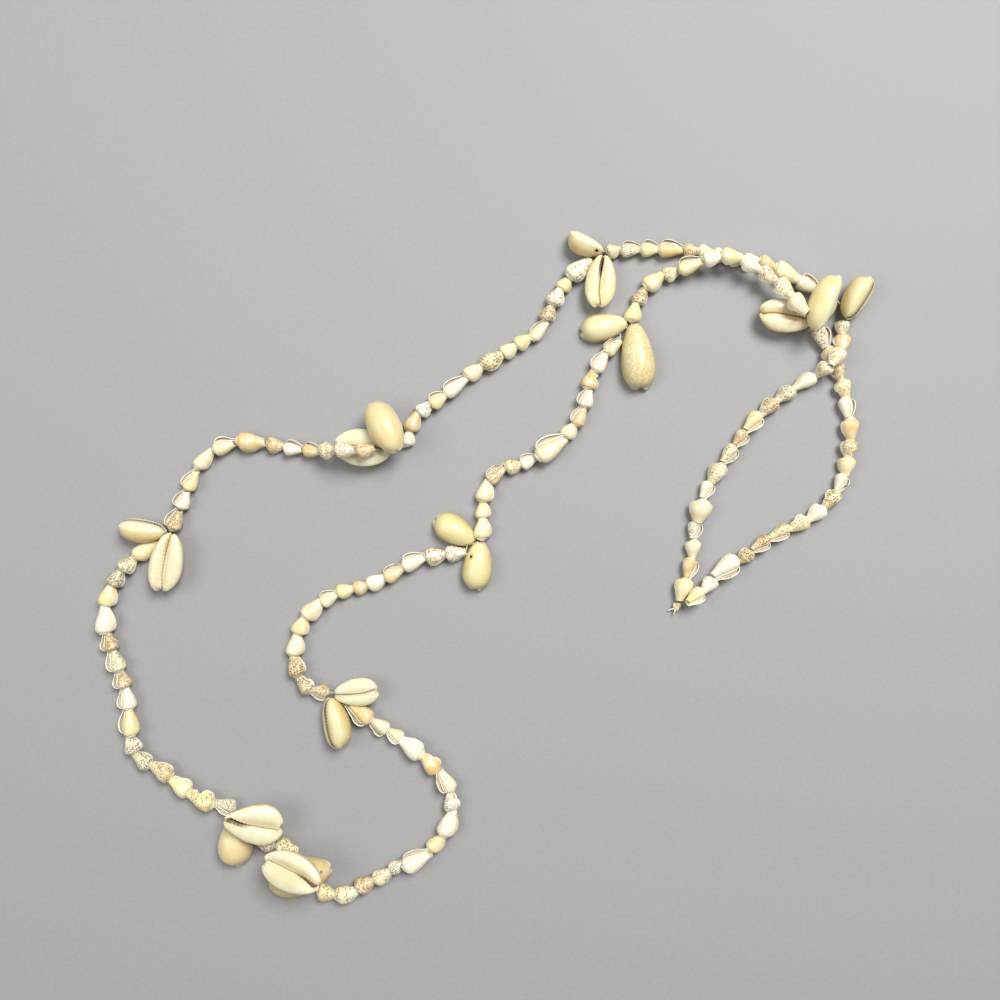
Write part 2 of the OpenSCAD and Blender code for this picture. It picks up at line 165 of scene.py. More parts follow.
# Cowries: place of the narrow end on the axis, heading, pitch, roll (0 back up, 180 slit up),
# length, width, height, how far the width leans to the broad end, how round the ends are (0.5 an
# ellipse, less is blunter), and the look
COWRIES = {
    "cowrie_a1_one": ((150.7, 104.6, 6.4), 58, 0, -122, 18.9, 12.5, 10.2, 0.2, 0.46, "cream_lip"),
    "cowrie_a1_two": ((146.2, 117.5, 2.4), 249, 0, 0, 14, 9.2, 7, 0.16, 0.5, "cream"),
    "cowrie_a2_one": ((49.6, 131.9, 5.9), 152, 0, -108, 15.6, 11.5, 9, 0.25, 0.46, "lip_up"),
    "cowrie_a2_two": ((49.8, 130.2, 6.3), 264, 0, 180, 21, 12.6, 9.5, 0.18, 0.46, "ivory_base"),
    "cowrie_a3_one": ((-34.8, 48.7, 16.6), 119, -13, 0, 23, 13.4, 10, 0.08, 0.46, "amber_back"),
    "cowrie_a3_two": ((-38.9, 49.2, 7.6), 175, 0, 180, 22, 15.2, 10.2, 0.05, 0.47, "white_base"),
    "cowrie_a4_one": ((-133.3, 14.6, 5.8), 172, 0, -104, 18.8, 11, 10.2, 0.18, 0.43, "lip_up"),
    "cowrie_a4_two": ((-129.9, 14.2, 6.8), 259, 0, 180, 23.4, 13.6, 10.5, 0.16, 0.44, "pink_base"),
    "cowrie_a5_one": ((-105.3, -102.3, 15), -12, -14, 180, 22.4, 16.6, 11.2, 0.38, 0.48, "gaping"),
    "cowrie_a5_two": ((-102.9, -104.5, 3.3), -98, 0, 0, 20.5, 14.4, 10.5, 0.2, 0.5, "amber_back"),
    "cowrie_b1_one": ((136.2, 103.1, 6.8), 170, 0, 180, 21.1, 13.6, 10.3, 0.16, 0.5, "stained"),
    "cowrie_b1_two": ((135.7, 98.1, 14.1), 68, 0, -92, 23.8, 13.6, 10.7, 0.1, 0.48, "side_up"),
    "cowrie_b2_one": ((59.9, 102.9, 3.1), 191, 0, 0, 19.3, 11.4, 8.8, 0.25, 0.46, "cream"),
    "cowrie_b2_two": ((62.8, 102.3, 4), -84, 0, 0, 27, 14, 11, 0.26, 0.4, "speckled"),
    "cowrie_b3_one": ((-4.5, 10.8, 3.3), 149, 0, 0, 18.4, 11.8, 9.2, 0.18, 0.48, "yellow_back"),
    "cowrie_b3_two": ((-1.9, 10.6, 3.5), -96, 0, 0, 19.6, 12.2, 9.6, 0.16, 0.45, "yellow_back"),
    "cowrie_b4_one": ((-62.2, -52.6, 5.8), 5, 0, 180, 17.4, 11.5, 9, 0.22, 0.42, "olive_slit"),
    "cowrie_b4_two": ((-64.2, -54.2, 6.3), -79, 0, -130, 20.8, 12.6, 10.9, 0.26, 0.48, "cream_lip"),
    "cowrie_b5_one": ((-65.9, -127.1, 18.4), 160, -6, 180, 24, 15.6, 10.2, 0.12, 0.45, "creased"),
    "cowrie_b5_two": ((-65, -126.6, 2.3), 195, 0, 0, 26.4, 15.6, 10.1, 0.16, 0.48, "tan_back"),
}
# A second hole that shows: its distance from the narrow end, and its turn about the length
SECOND_HOLES = {"cowrie_a2_one": (2.4, 83), "cowrie_b3_two": (6.1, 34)}

# Looks of the cowries: colours of back, edge, base and slit (the slit's colour is partly its own
# tint, partly painted shade), and what stands out in some of them: stain and speckle as shares,
# gape of the slit at the narrow end, how dark its closed stretch is painted, how far the painted
# shade of the valley along the slit (on some cowries a stain there) spreads on the base, its slant
# and the fullness of its lips
PLAIN_LOOK = {"back": "cream", "edge": "tan", "base": "white", "slit": "brown", "stain": 0.25,
              "speckle": 0.0, "gape": 0.2, "line": 0.0, "shade": 0.2, "slant": 0.0, "full": 1.0}
LOOKS = {name: {**PLAIN_LOOK, **own} for name, own in {
    "cream": {},
    "lip_up": {"back": "orange", "edge": "cream", "gape": 0.3, "line": 0.9},
    "cream_lip": {"back": "orange", "edge": "cream", "base": "cream", "gape": 0.3, "line": 0.9},
    "yellow_back": {"back": "yellow"},
    "amber_back": {"back": "amber", "edge": "pink", "stain": 0.4},
    "side_up": {"back": "yellow", "edge": "cream"},
    "tan_back": {"back": "orange", "speckle": 0.1},
    "speckled": {"stain": 0.5, "speckle": 1.0},
    "white_base": {"edge": "cream", "slit": "tan", "gape": 0.0},
    "ivory_base": {"edge": "cream", "base": "cream", "stain": 0.12, "gape": 0.6, "full": 1.4},
    "pink_base": {"back": "orange", "edge": "pink", "slit": "tan", "stain": 0.1, "gape": 0.0,
                  "shade": 0.4, "full": 1.8},
    "stained": {"edge": "yellow", "slit": "orange", "stain": 0.6, "gape": 0.3, "line": 0.5,
                "shade": 0.6, "full": 1.3},
    "gaping": {"stain": 0.15, "gape": 0.5, "shade": 0.35, "slant": 0.25, "full": 2.2},
    "creased": {"edge": "pink", "gape": 0.1, "shade": 0.5, "slant": 0.3, "full": 2.5},
    "olive_slit": {"edge": "cream", "slit": "gray", "stain": 0.08, "gape": 0.04, "line": 0.6},
}.items()}

# Shades of the small shells by look letter; a capital letter has brown dots too
SHADES = {"w": "white", "c": "cream", "y": "yellow", "o": "orange", "t": "sand", "p": "pink",
          "g": "green"}
# Shells with ribs or a broken lip: strand and place in it
RIBBED = {("shells_b4", 12), ("shells_b5", 5), ("shells_b1", 2), ("shells_a1", 1)}
CHIPPED = {("shells_a5", 1), ("shells_b1", 8), ("shells_b3", 10)}
# How strong the dots are on a shell with dots and on one without
MANY_DOTS, FEW_DOTS = (0.75, 1.0), (0.0, 0.12)

# The knot: place, heading, size, and how it is stretched from a round trefoil
KNOT_AT = (80.9, -16.4, 2.1)
KNOT_HEADING = 230
KNOT_SIZE = 3.9
KNOT_STRETCH = (1.15, 0.9, 0.75)
KNOT_POINTS = 61
KNOT_BEND = 0.1 * MM
# The way of one of its cut ends, which the other one mirrors
CUT_END = [(0.2, 0, 0.2), (1.8, 0.5, 0.3), (2.9, 1.1, -0.4), (3.7, 1.3, -1.0)]

# Plies of the thread, and how closely the thread and the knot are twisted
PLIES, FINE_TWIST, COARSE_TWIST = 3, 700.0, 260.0
# Fine ridges across a small shell's whorl
RIDGES = 25

# The camera looks straight down from over one place, the view's middle is another, and the view's
# width is measured at a height
EYE_OVER = (27.5, 36.8)
VIEW_MIDDLE = (6.5, 28.35)
VIEW_LEVEL = 3.5
SENSOR_WIDTH = 36.0


def colour_property(name, description, default):
    return bpy.props.FloatVectorProperty(name=name, description=description, default=default,
                                         subtype="COLOR", size=3, min=0.0, max=1.0)


def number_property(name, description, default, smallest, largest, **kind):
    return bpy.props.FloatProperty(name=name, description=description, default=default,
                                   min=smallest, max=largest, **kind)


def length_property(name, description, default, smallest, largest):
    return number_property(name, description, default, smallest, largest, precision=5,
                           unit="LENGTH")


class SnailSettings(bpy.types.PropertyGroup):
    """Sizes of the small snail shells"""
    size: number_property("Size", "Size of every small shell beside its kind", 1.0, 0.9, 1.02)
    whorls: number_property("Whorls", "Turns of the coil down to the pierced spire", 2.3, 1.5, 3.0)
    growth: number_property("Growth", "How much wider the coil gets in one turn", 1.56, 1.3, 2.0)
    nesting: number_property("Nesting", "Length of a shell over its pitch on the thread, so that "
                             "its tip sits in the next one's spire", 1.05, 1.0, 1.1)
    lip: number_property("Lip", "Flare of the mouth's lip, as a share of the width", 0.06, 0.0,
                         0.12)
    swing: number_property("Swing", "How far a shell turns on the thread at random",
                           math.radians(11), 0.0, 1.0, subtype="ANGLE")
    seed: bpy.props.IntProperty(name="Seed", description="Start of the shells' random numbers",
                                default=7)


class CowrieSettings(bpy.types.PropertyGroup):
    """Sizes of the cowries"""
    wall: length_property("Wall", "Thickness of the shell", 1.2 * MM, 0.5 * MM, 2 * MM)
    slit: length_property("Slit", "Half the width of the slit between the lips", 0.34 * MM,
                          0.2 * MM, MM)
    valley: length_property("Valley", "Depth of the base's hollow along the slit", 0.7 * MM, 0.0,
                            1.5 * MM)
    roll: length_property("Lip roll", "Radius of the lips where they turn into the slit",
                          0.95 * MM, 0.3 * MM, 1.5 * MM)
    tooth: length_property("Tooth", "Height of the teeth along the lips", 0.15 * MM, 0.0,
                           0.5 * MM)
    teeth: bpy.props.IntProperty(name="Teeth", description="Teeth along each lip", default=15,
                                 min=8, max=24)
    lobe: number_property("Lobe", "How far the lips stand out at the ends, as a share of the "
                          "width", 0.07, 0.0, 0.12)
    drill: length_property("Drilled hole", "Diameter of the holes for the thread", 1.3 * MM, MM,
                           2 * MM)


class ThreadSettings(bpy.types.PropertyGroup):
    """Sizes of the thread and its knot"""
    diameter: length_property("Diameter", "Diameter of the thread", 0.5 * MM, 0.3 * MM, MM)
    bend: length_property("Bend", "Radius of the thread's bends", 0.9 * MM, 0.2 * MM, 3 * MM)
    knotted: length_property("Knotted thread", "Diameter of the thread in the knot", 1.4 * MM,
                             0.5 * MM, 2 * MM)
    end: length_property("Cut end", "Diameter of the frayed cut ends", 0.7 * MM, 0.3 * MM, MM)


class ColourSettings(bpy.types.PropertyGroup):
    """Colours of the shells, the thread and the floor"""
    white: colour_property("White", "White shells and lips", (0.82, 0.79, 0.63))
    cream: colour_property("Cream", "Cream shells", (0.79, 0.725, 0.46))
    yellow: colour_property("Yellow", "Yellow shells", (0.79, 0.69, 0.33))
    orange: colour_property("Orange", "Orange-tan shells", (0.70, 0.49, 0.20))
    amber: colour_property("Amber", "Amber backs of cowries", (0.78, 0.62, 0.34))
    # Tan also paints shade: in the snails' suture crease and the cowries' valley along the slit
    tan: colour_property("Tan", "Growth lines, grooves and cowrie edges", (0.55, 0.40, 0.21))
    sand: colour_property("Sand", "Tan shells", (0.67, 0.51, 0.26))
    pink: colour_property("Pink", "Pinkish white shells", (0.78, 0.68, 0.51))
    green: colour_property("Green", "Greenish white shells", (0.58, 0.56, 0.36))
    # Brown inside the slits stands partly for painted shade of their hollow
    brown: colour_property("Brown", "Dots and the inside of slits", (0.11, 0.062, 0.03))
    gray: colour_property("Gray", "The inside of mouths", (0.58, 0.50, 0.38))
    glaze: colour_property("Glaze", "Tint over the whole glaze of the cowries",
                           (0.88, 0.87, 0.76))
    thread: colour_property("Thread", "The thread", (0.70, 0.62, 0.46))
    knot: colour_property("Knot", "The waxed knot", (0.73, 0.63, 0.40))
    floor: colour_property("Floor", "The floor", (0.26, 0.26, 0.26))


class StageSettings(bpy.types.PropertyGroup):
    """The camera, the lights and the floor"""
    view_width: length_property("View width", "Width of the view at the necklace", 0.42, 0.2, 1.0)
    view_height: length_property("View height", "Height of the camera over the necklace", 0.42,
                                 0.2, 2.0)
    floor_size: length_property("Floor size", "Side of the floor", 4.0, 1.0, 10.0)
    key_power: number_property("Key light", "Power of the key light in watts", 36.0, 0.0, 200.0)
    fill_power: number_property("Fill light", "Power of the fill light in watts", 9.0, 0.0, 200.0)
    sky: number_property("Sky", "Strength of the light from all round", 0.3, 0.0, 5.0)


# Curves, meshes and places

def smooth_curve(points, steps):
    """A Catmull-Rom curve through the points, with the given steps between two of them."""
    p = np.array(points, float)
    share = (np.arange(steps) / steps)[:, None]
    parts = []
    for i in range(len(p) - 1):
        a, b, c, d = p[max(i - 1, 0)], p[i], p[i + 1], p[min(i + 2, len(p) - 1)]
        parts.append(0.5 * (2 * b + (c - a) * share + (2 * a - 5 * b + 4 * c - d) * share ** 2
                            + (3 * b - a - 3 * c + d) * share ** 3))
    return np.concatenate(parts + [p[-1:]])


def run_length(points):
    """The length of a line of points up to each of them."""
    return np.concatenate([[0], np.cumsum(np.linalg.norm(np.diff(points, axis=0), axis=1))])


def spread(points, count):
    """Points at even distances along a line of points."""
    done = run_length(points)
    at = np.linspace(0, done[-1], count)
    return np.stack([np.interp(at, done, column) for column in points.T], axis=1)


def smooth_step(value, low, high):
    """A soft step from 0 at low to 1 at high."""
    share = np.clip((value - low) / (high - low), 0, 1)
    return share * share * (3 - 2 * share)


def ring_faces(rings, count):
    """Quads between rings of points that follow each other, each ring closed in itself."""
    ring = np.arange(rings - 1)[:, None] * count
    column = np.arange(count)[None, :]
    after = (column + 1) % count
    quads = np.stack([ring + column, ring + after, ring + count + after, ring + count + column],
                     axis=-1)
    return [tuple(quad) for quad in quads.reshape(-1, 4)]


def turned_outwards(points, faces):
    """The faces, all flipped if their closed surface is inside out."""
    volume = 0.0
    for face in faces:
        corners = points[list(face)]
        for i in range(1, len(face) - 1):
            volume += np.dot(corners[0], np.cross(corners[i], corners[i + 1]))
    return faces if volume > 0 else [tuple(reversed(face)) for face in faces]


def plain_mesh(name, points, edges=(), faces=()):
    """A mesh of the points as they are given."""
    mesh = bpy.data.meshes.new(name)
    mesh.from_pydata([tuple(point) for point in points], list(edges),
                     [tuple(int(i) for i in face) for face in faces])
    return mesh


def new_mesh(name, points, faces, sharp_angle=None):
    """A smooth mesh, with sharp edges over an angle in degrees where one is given."""
    mesh = plain_mesh(name, points, faces=faces)
    mesh.validate()
    mesh.shade_smooth()
    if sharp_angle is not None:
        mesh.set_sharp_from_angle(angle=math.radians(sharp_angle))
    return mesh


def new_object(name, mesh, collection=None):
    piece = bpy.data.objects.new(name, mesh)
    (collection or bpy.context.scene.collection).objects.link(piece)
    return piece


POINT_KEYS = {"QUATERNION": "value", "FLOAT_VECTOR": "vector", "INT": "value",
              "FLOAT_COLOR": "color", "FLOAT": "value"}


def give_points(mesh, name, kind, values):
    """Gives a mesh an attribute with a value for each of its points."""
    attribute = mesh.attributes.new(name, kind, "POINT")
    attribute.data.foreach_set(POINT_KEYS[kind], np.array(values).ravel())


def with_modifiers_applied(piece, name):
    """The evaluated shape of a piece as a new plain object, which takes the piece's place."""
    depsgraph = bpy.context.evaluated_depsgraph_get()
    mesh = bpy.data.meshes.new_from_object(piece.evaluated_get(depsgraph),
                                           preserve_all_data_layers=True, depsgraph=depsgraph)
    old_mesh = piece.data
    bpy.data.objects.remove(piece)
    if old_mesh.users == 0:
        bpy.data.meshes.remove(old_mesh)
    mesh.name = name
    if not mesh.polygons:
        raise RuntimeError(f"{name} came out empty")
    return new_object(name, mesh)


def ride_on_body(piece):
    """Puts a piece on the body."""
    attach(piece, BODY)


def keep_in_frame(piece, node):
    """Puts a finished piece on the body and in place of its node, after a look at its size."""
    lowest, highest = np.array(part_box(node))
    points = np.array([vertex.co for vertex in piece.data.vertices])
    stray = max((lowest - points.min(0)).max(), (points.max(0) - highest).max())
    if stray > MOST_STRAY:
        raise RuntimeError(f"{piece.name} stands {stray / MM:.2f} mm out of its node")
    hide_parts(node)
    ride_on_body(piece)


def strand_places(strand):
    """For each shell of a strand: its spire end, direction, length and radius, in millimetres."""
    kinds, route = STRANDS[strand][0], smooth_curve(STRANDS[strand][3], ROUTE_STEPS)
    done = run_length(route)
    lengths = np.array([SHELL_KINDS[letter][0] for letter in kinds])
    share = done[-1] / lengths.sum()
    starts = share * np.concatenate([[0], np.cumsum(lengths)[:-1]])

    def at(distance):
        place = np.array([np.interp(distance, done, column) for column in route.T])
        return np.array([place[0], place[1], max(place[2], 0)])

    places = []
    for letter, start in zip(kinds, starts):
        long, width = SHELL_KINDS[letter]
        pitch = share * long
        way = at(start + pitch) - at(start)
        direction = way / np.linalg.norm(way)
        middle = at(start + pitch * WIDEST_AT) + np.array([0, 0, width / 2])
        places.append((middle - direction * long * WIDEST_AT, direction, long, width / 2))
    return places


def facing(direction, turn):
    """The rotation that takes +Z to a direction and turns +X from straight down about it."""
    return (Matrix.Rotation(math.atan2(direction[1], direction[0]), 3, "Z")
            @ Matrix.Rotation(math.acos(direction[2]), 3, "Y") @ Matrix.Rotation(turn, 3, "Z"))


# Node trees

class Graph:
    """Short ways to add nodes to a tree. A value that is a socket is linked, others are set."""

    def __init__(self, tree):
        self.tree = tree

    def node(self, kind, inputs=None, **settings):
        node = self.tree.nodes.new(kind)
        for name, value in settings.items():
            setattr(node, name, value)
        for key, value in (inputs or {}).items():
            self.give(node.inputs[key], value)
        return node

    def give(self, socket, value):
        if isinstance(value, bpy.types.NodeSocket):
            self.tree.links.new(value, socket)
        else:
            socket.default_value = value

    def math(self, operation, a, b=0.0, clamp=False):
        return self.node("ShaderNodeMath", {0: a, 1: b}, operation=operation,
                         use_clamp=clamp).outputs[0]

    def times(self, a, b, clamp=False):
        return self.math("MULTIPLY", a, b, clamp)

    def plus(self, a, b, clamp=False):
        return self.math("ADD", a, b, clamp)

    def minus(self, a, b):
        return self.math("SUBTRACT", a, b)

    def band(self, value, low, high, out_low=0.0, out_high=1.0):
        """A soft step of a value from low to high."""
        return self.node("ShaderNodeMapRange", {0: value, 1: low, 2: high, 3: out_low, 4: out_high},
                         interpolation_type="SMOOTHSTEP").outputs[0]

    def mix(self, share, a, b, blend="MIX"):
        return self.node("ShaderNodeMix", {0: share, 6: a, 7: b}, data_type="RGBA",
                         blend_type=blend).outputs[2]

    def layers(self, colour, *layers):
        """A colour with others laid over it in turn, each by a mask and the mask's strength."""
        for mask, strength, over in layers:
            share = mask if strength == 1 else self.times(mask, strength)
            colour = self.mix(share, colour, over)
        return colour

    def vector(self, x, y, z):
        return self.node("ShaderNodeCombineXYZ", {0: x, 1: y, 2: z}).outputs[0]

    def split(self, vector):
        return self.node("ShaderNodeSeparateXYZ", {0: vector}).outputs

    def noise(self, vector, scale, detail=3.0, roughness=0.55):
        return self.node("ShaderNodeTexNoise", {"Vector": vector, "Scale": scale, "Detail": detail,
                                                "Roughness": roughness}).outputs["Fac"]

    def stretched(self, vector, scale):
        return self.node("ShaderNodeVectorMath", {0: vector, 1: scale},
                         operation="MULTIPLY").outputs[0]

    def attribute(self, name, kind="Fac"):
        return self.node("ShaderNodeAttribute", attribute_name=name).outputs[kind]

    def place(self):
        return self.node("ShaderNodeTexCoord").outputs["Object"]

    def group(self, name, **inputs):
        """A shared shader group. An underscore in an input's name stands for a space."""
        node = self.node("ShaderNodeGroup", node_tree=shared(name))
        for label, value in inputs.items():
            self.give(node.inputs[label.replace("_", " ")], value)
        return node.outputs


def shader_group(name, inputs, outputs, build):
    """A shader node group of named inputs with defaults, outputs, and a function that fills it."""
    tree = bpy.data.node_groups.new(name, "ShaderNodeTree")
    for label, default in inputs.items():
        kind = "NodeSocketVector" if default is None else "NodeSocketFloat"
        socket = tree.interface.new_socket(label, in_out="INPUT", socket_type=kind)
        if default is not None:
            socket.default_value = default
    for label in outputs:
        tree.interface.new_socket(label, in_out="OUTPUT", socket_type="NodeSocketFloat")
    graph = Graph(tree)
    given = graph.node("NodeGroupInput").outputs
    graph.node("NodeGroupOutput", dict(zip(outputs, build(graph, given))))
    return tree


def growth_lines(graph, given):
    """Fine lines across the way that a shell grew."""
    fine = graph.noise(given["Place"], given["Density"], 2.0)
    coarse = graph.noise(given["Place"], graph.times(given["Density"], 0.23), 1.0)
    both = graph.plus(graph.times(fine, 0.6), graph.times(coarse, 0.4))
    return [graph.band(both, 0.35, 0.68)]


def brown_dots(graph, given):
    """Dots in rows, some of them missing."""
    cells = graph.node("ShaderNodeTexVoronoi", {"Vector": given["Place"], "Scale": 1.0,
                                                "Randomness": 0.62})
    dots = graph.band(cells.outputs["Distance"], given["Size"], graph.times(given["Size"], 0.62))
    gaps = graph.band(graph.noise(given["Place"], 0.42, 1.0), 0.40, 0.46)
    return [graph.times(graph.times(dots, gaps), given["Amount"], clamp=True)]


def beach_wear(graph, given):
    """Pits and dull scuffs from rolling in the surf."""
    pits = graph.node("ShaderNodeTexVoronoi", {"Vector": given["Place"], "Scale": given["Pits"]})
    pitted = graph.band(pits.outputs["Distance"], 0.20, 0.05)
    where = graph.noise(given["Place"], graph.times(given["Pits"], 0.2), 2.0)
    scuffs = graph.noise(given["Place"], graph.times(given["Pits"], 0.55), 4.0, 0.7)
    return [graph.times(pitted, graph.band(where, 0.52, 0.66)), graph.band(scuffs, 0.42, 0.72)]


def soft_stain(graph, given):
    """Wide soft patches."""
    wide = graph.noise(given["Place"], given["Scale"], 3.0, 0.6)
    return [graph.times(graph.band(wide, 0.46, 0.66), given["Amount"], clamp=True)]


def twisted_ply(graph, given):
    """The plies of a twisted thread, from the places along and round it."""
    slope = graph.plus(graph.times(given["Along"], given["Twist"]), given["Around"])
    wave = graph.math("SINE", graph.times(slope, 2 * math.pi * PLIES))
    hairs = graph.vector(graph.times(given["Along"], 9000.0), graph.times(given["Around"], 9.0),
                         0.0)
    fuzz = graph.noise(hairs, 1.0, 3.0)
    return [graph.plus(graph.times(wave, 0.4), graph.times(fuzz, 0.5)), fuzz]


GROUPS = {
    "Growth lines": ({"Place": None, "Density": 30.0}, ["Lines"], growth_lines),
    "Brown dots": ({"Place": None, "Size": 0.3, "Amount": 1.0}, ["Dots"], brown_dots),
    "Beach wear": ({"Place": None, "Pits": 900.0}, ["Pits", "Scuffs"], beach_wear),
    "Soft stain": ({"Place": None, "Scale": 90.0, "Amount": 0.5}, ["Stain"], soft_stain),
    "Twisted ply": ({"Along": 0.0, "Around": 0.0, "Twist": 500.0}, ["Height", "Fuzz"],
                    twisted_ply),
}


def shared(name):
    """A node group that materials share, built the first time that it is asked for."""
    return bpy.data.node_groups.get(name) or shader_group(name, *GROUPS[name])


def new_material(name):
    material = bpy.data.materials.new(name)
    material.use_nodes = True
    material.node_tree.nodes.clear()
    return material, Graph(material.node_tree)


def finish_material(graph, colour, roughness, height, bump, distance, **constants):
    """The shader and its bump. Values that are the same all over are set on the shader itself."""
    relief = graph.node("ShaderNodeBump", {"Height": height, "Strength": bump,
                                           "Distance": distance})
    shader = graph.node("ShaderNodeBsdfPrincipled", {"Base Color": colour, "Roughness": roughness,
                                                     "Normal": relief.outputs[0]})
    for name, value in constants.items():
        shader.inputs[name.replace("_", " ")].default_value = value
    graph.node("ShaderNodeOutputMaterial", {"Surface": shader.outputs[0]})


def tone(colours, name):
    """A named colour with its alpha."""
    return (*getattr(colours, name), 1.0)


def tones(colours, *names):
    return [tone(colours, name) for name in names]


def snail_material(colours):
    """The glossy, worn skin of all small shells, with each shell's own shade, dots and chance."""
    material, graph = new_material("Snail shell")
    tan, brown, white, orange, gray = tones(colours, "tan", "brown", "white", "orange", "gray")
    turn, row, inside = graph.split(graph.attribute("coil", "Vector"))
    shade, spots = graph.attribute("shade", "Color"), graph.attribute("spots")
    chance, place = graph.attribute("chance"), graph.place()
    surface = graph.vector(turn, row, graph.times(chance, 40.0))

    cloud = graph.noise(graph.stretched(surface, (3.0, 5.0, 1.0)), 1.0, 2.0)
    lines = graph.group("Growth lines", Place=graph.stretched(surface, (1.0, 0.05, 1.0)),
                        Density=42.0)["Lines"]
    worn = graph.group("Beach wear", Place=place, Pits=1300.0)
    stain = graph.group("Soft stain", Place=place, Scale=420.0, Amount=0.6)["Stain"]
    dots = graph.group("Brown dots", Place=graph.stretched(surface, (19.0, 25.0, 1.0)),
                       Size=0.52, Amount=spots)["Dots"]
    streaks = graph.noise(graph.stretched(surface, (24.0, 9.0, 1.0)), 1.0, 2.0)
    streaks = graph.times(graph.band(streaks, 0.52, 0.62), spots)
    streaked = graph.times(graph.band(chance, 0.55, 0.62), 0.5)
    ridges = graph.math("SINE", graph.times(row, 2 * math.pi * RIDGES))
    ridges = graph.times(ridges, graph.times(spots, 0.35))
    suture = graph.times(graph.band(row, 0.10, 0.05), graph.band(row, 0.015, 0.03))
    lining = graph.layers(gray, (graph.band(chance, 0.45, 0.95), 1, graph.mix(0.25, gray, brown)),
                          (graph.band(turn, 0.026, 0.008), 1, white))
    colour = graph.layers(
        shade,
        (graph.band(cloud, 0.40, 0.68, 0.0, 0.7), 1, white),
        (lines, 0.35, graph.mix(0.6, shade, tan)),
        (stain, 1, graph.mix(0.65, shade, orange)),
        (streaks, streaked, graph.mix(0.3, tan, brown)),
        (dots, 0.82, brown),
        (worn["Pits"], 0.7, brown),
        # Painted shade: tan in the crease along the suture, where the whorl meets the one before
        (graph.band(row, 0.018, 0.0), 0.55, tan),
        (suture, 0.6, white),
        (graph.band(turn, 0.7, 1.5, 0.0, 0.35), 1, white),
        (graph.band(turn, 0.05, 0.015), 0.8, white),
        (graph.band(inside, 0.3, 0.7), 1, lining))

    roughness = graph.plus(0.26, graph.times(worn["Scuffs"], 0.22))
    grains = graph.plus(graph.times(dots, 0.5), ridges)
    height = graph.minus(graph.plus(graph.times(lines, 0.35), grains), worn["Pits"])
    finish_material(graph, colour, roughness, height, bump=0.6, distance=0.16 * MM,
                    Coat_Weight=0.3, Coat_Roughness=0.15, Specular_IOR_Level=0.5)
    return material


def cowrie_material(name, look, teeth, hole, colours):
    """The porcelain skin of one cowrie, banded from the middle of its back round to its slit."""
    material, graph = new_material(name)
    tan, white, orange, yellow = tones(colours, "tan", "white", "orange", "yellow")
    parts = [look[part] for part in ("back", "edge", "base", "slit")]
    back, edge, base, slit = tones(colours, *parts)
    uv_map = graph.node("ShaderNodeUVMap", uv_map="shell_map").outputs[0]
    along, around, _ = graph.split(uv_map)
    place = graph.place()
    wander = graph.times(graph.minus(graph.noise(place, 260.0, 3.0), 0.5), 0.10)
    from_back = graph.plus(graph.math("ABSOLUTE", graph.minus(around, 0.5)), wander)

    hoops = graph.stretched(graph.vector(along, around, 0.0), (1.0, 0.12, 1.0))
    hoops = graph.group("Growth lines", Place=hoops, Density=26.0)["Lines"]
    worn = graph.group("Beach wear", Place=place, Pits=700.0)
    stain = graph.group("Soft stain", Place=place, Scale=130.0, Amount=look["stain"])["Stain"]
    ends = graph.plus(graph.band(along, 0.08, 0.0), graph.band(along, 0.93, 1.0), clamp=True)
    milky = graph.band(graph.noise(place, 170.0, 2.0), 0.45, 0.7, 0.0, 0.35)
    colour = graph.layers(
        back,
        (graph.band(from_back, 0.02, 0.20, 0.25, 0.0), 1, white),
        (graph.band(from_back, 0.14, 0.25, 0.0, 0.75), 1, edge),
        (graph.band(from_back, 0.26, 0.33, 0.0, 0.95), 1, base),
        (ends, 0.45, white),
        (hoops, 0.16, tan),
        (stain, 1, graph.mix(0.5, yellow, orange)),
        (milky, 1, white))
    if look["speckle"]:
        freckles = graph.group("Brown dots", Place=graph.stretched(place, (1700.0,) * 3),
                               Size=0.62, Amount=look["speckle"])["Dots"]
        on_back = graph.band(from_back, 0.34, 0.26, 0.0, 0.85)
        colour = graph.layers(colour, (freckles, on_back, graph.mix(0.5, tan, orange)))

    near_slit = graph.band(from_back, 0.455, 0.49)
    tooth_wave = graph.math("SINE", graph.times(along, 2 * math.pi * teeth))
    between = graph.times(graph.band(tooth_wave, 0.1, -0.8), near_slit)
    # The slit's colour: its own tint, painted darker as shade where it gapes near the narrow end
    open_end = graph.band(along, 0.52, 0.24)
    # Painted shade of the closed stretch: as dark as the look's line says
    closed_shade = graph.mix(look["line"], graph.mix(0.6, tan, base), slit)
    slit_shade = graph.mix(open_end, closed_shade, slit)
    shown = graph.plus(0.07, graph.times(open_end, 0.22))
    # Painted shade in the base's valley along the slit, on some cowries a stain there too
    shaded = graph.band(from_back, 0.38, 0.495, 0.0, look["shade"])
    # Painted shade: the lips and lining inside the slit take the slit's dark colour
    deep = graph.plus(graph.band(around, 1.0, 1.06), graph.band(around, 0.012, 0.0), clamp=True)
    colour = graph.layers(
        colour,
        (between, shown, slit_shade),
        # The painted valley shade, a stain on some cowries
        (shaded, 1, graph.mix(0.4, orange, tan)),
        (deep, 0.85, slit_shade),
        (worn["Pits"], 0.5, tan))
    if hole:
        away = graph.node("ShaderNodeVectorMath", {0: place, 1: tuple(hole)},
                          operation="DISTANCE").outputs["Value"]
        rim = graph.band(away, 1.7 * MM, 0.7 * MM, 0.0, 0.6)
        colour = graph.layers(colour, (rim, 1, graph.mix(0.35, tan, tone(colours, "brown"))))

    colour = graph.mix(1.0, colour, tone(colours, "glaze"), "MULTIPLY")
    roughness = graph.plus(0.34, graph.times(worn["Scuffs"], 0.18))
    height = graph.minus(graph.times(hoops, 0.2), worn["Pits"])
    finish_material(graph, colour, roughness, height, bump=0.35, distance=0.10 * MM,
                    Coat_Weight=0.2, Coat_Roughness=0.25, Specular_IOR_Level=0.5)
    return material


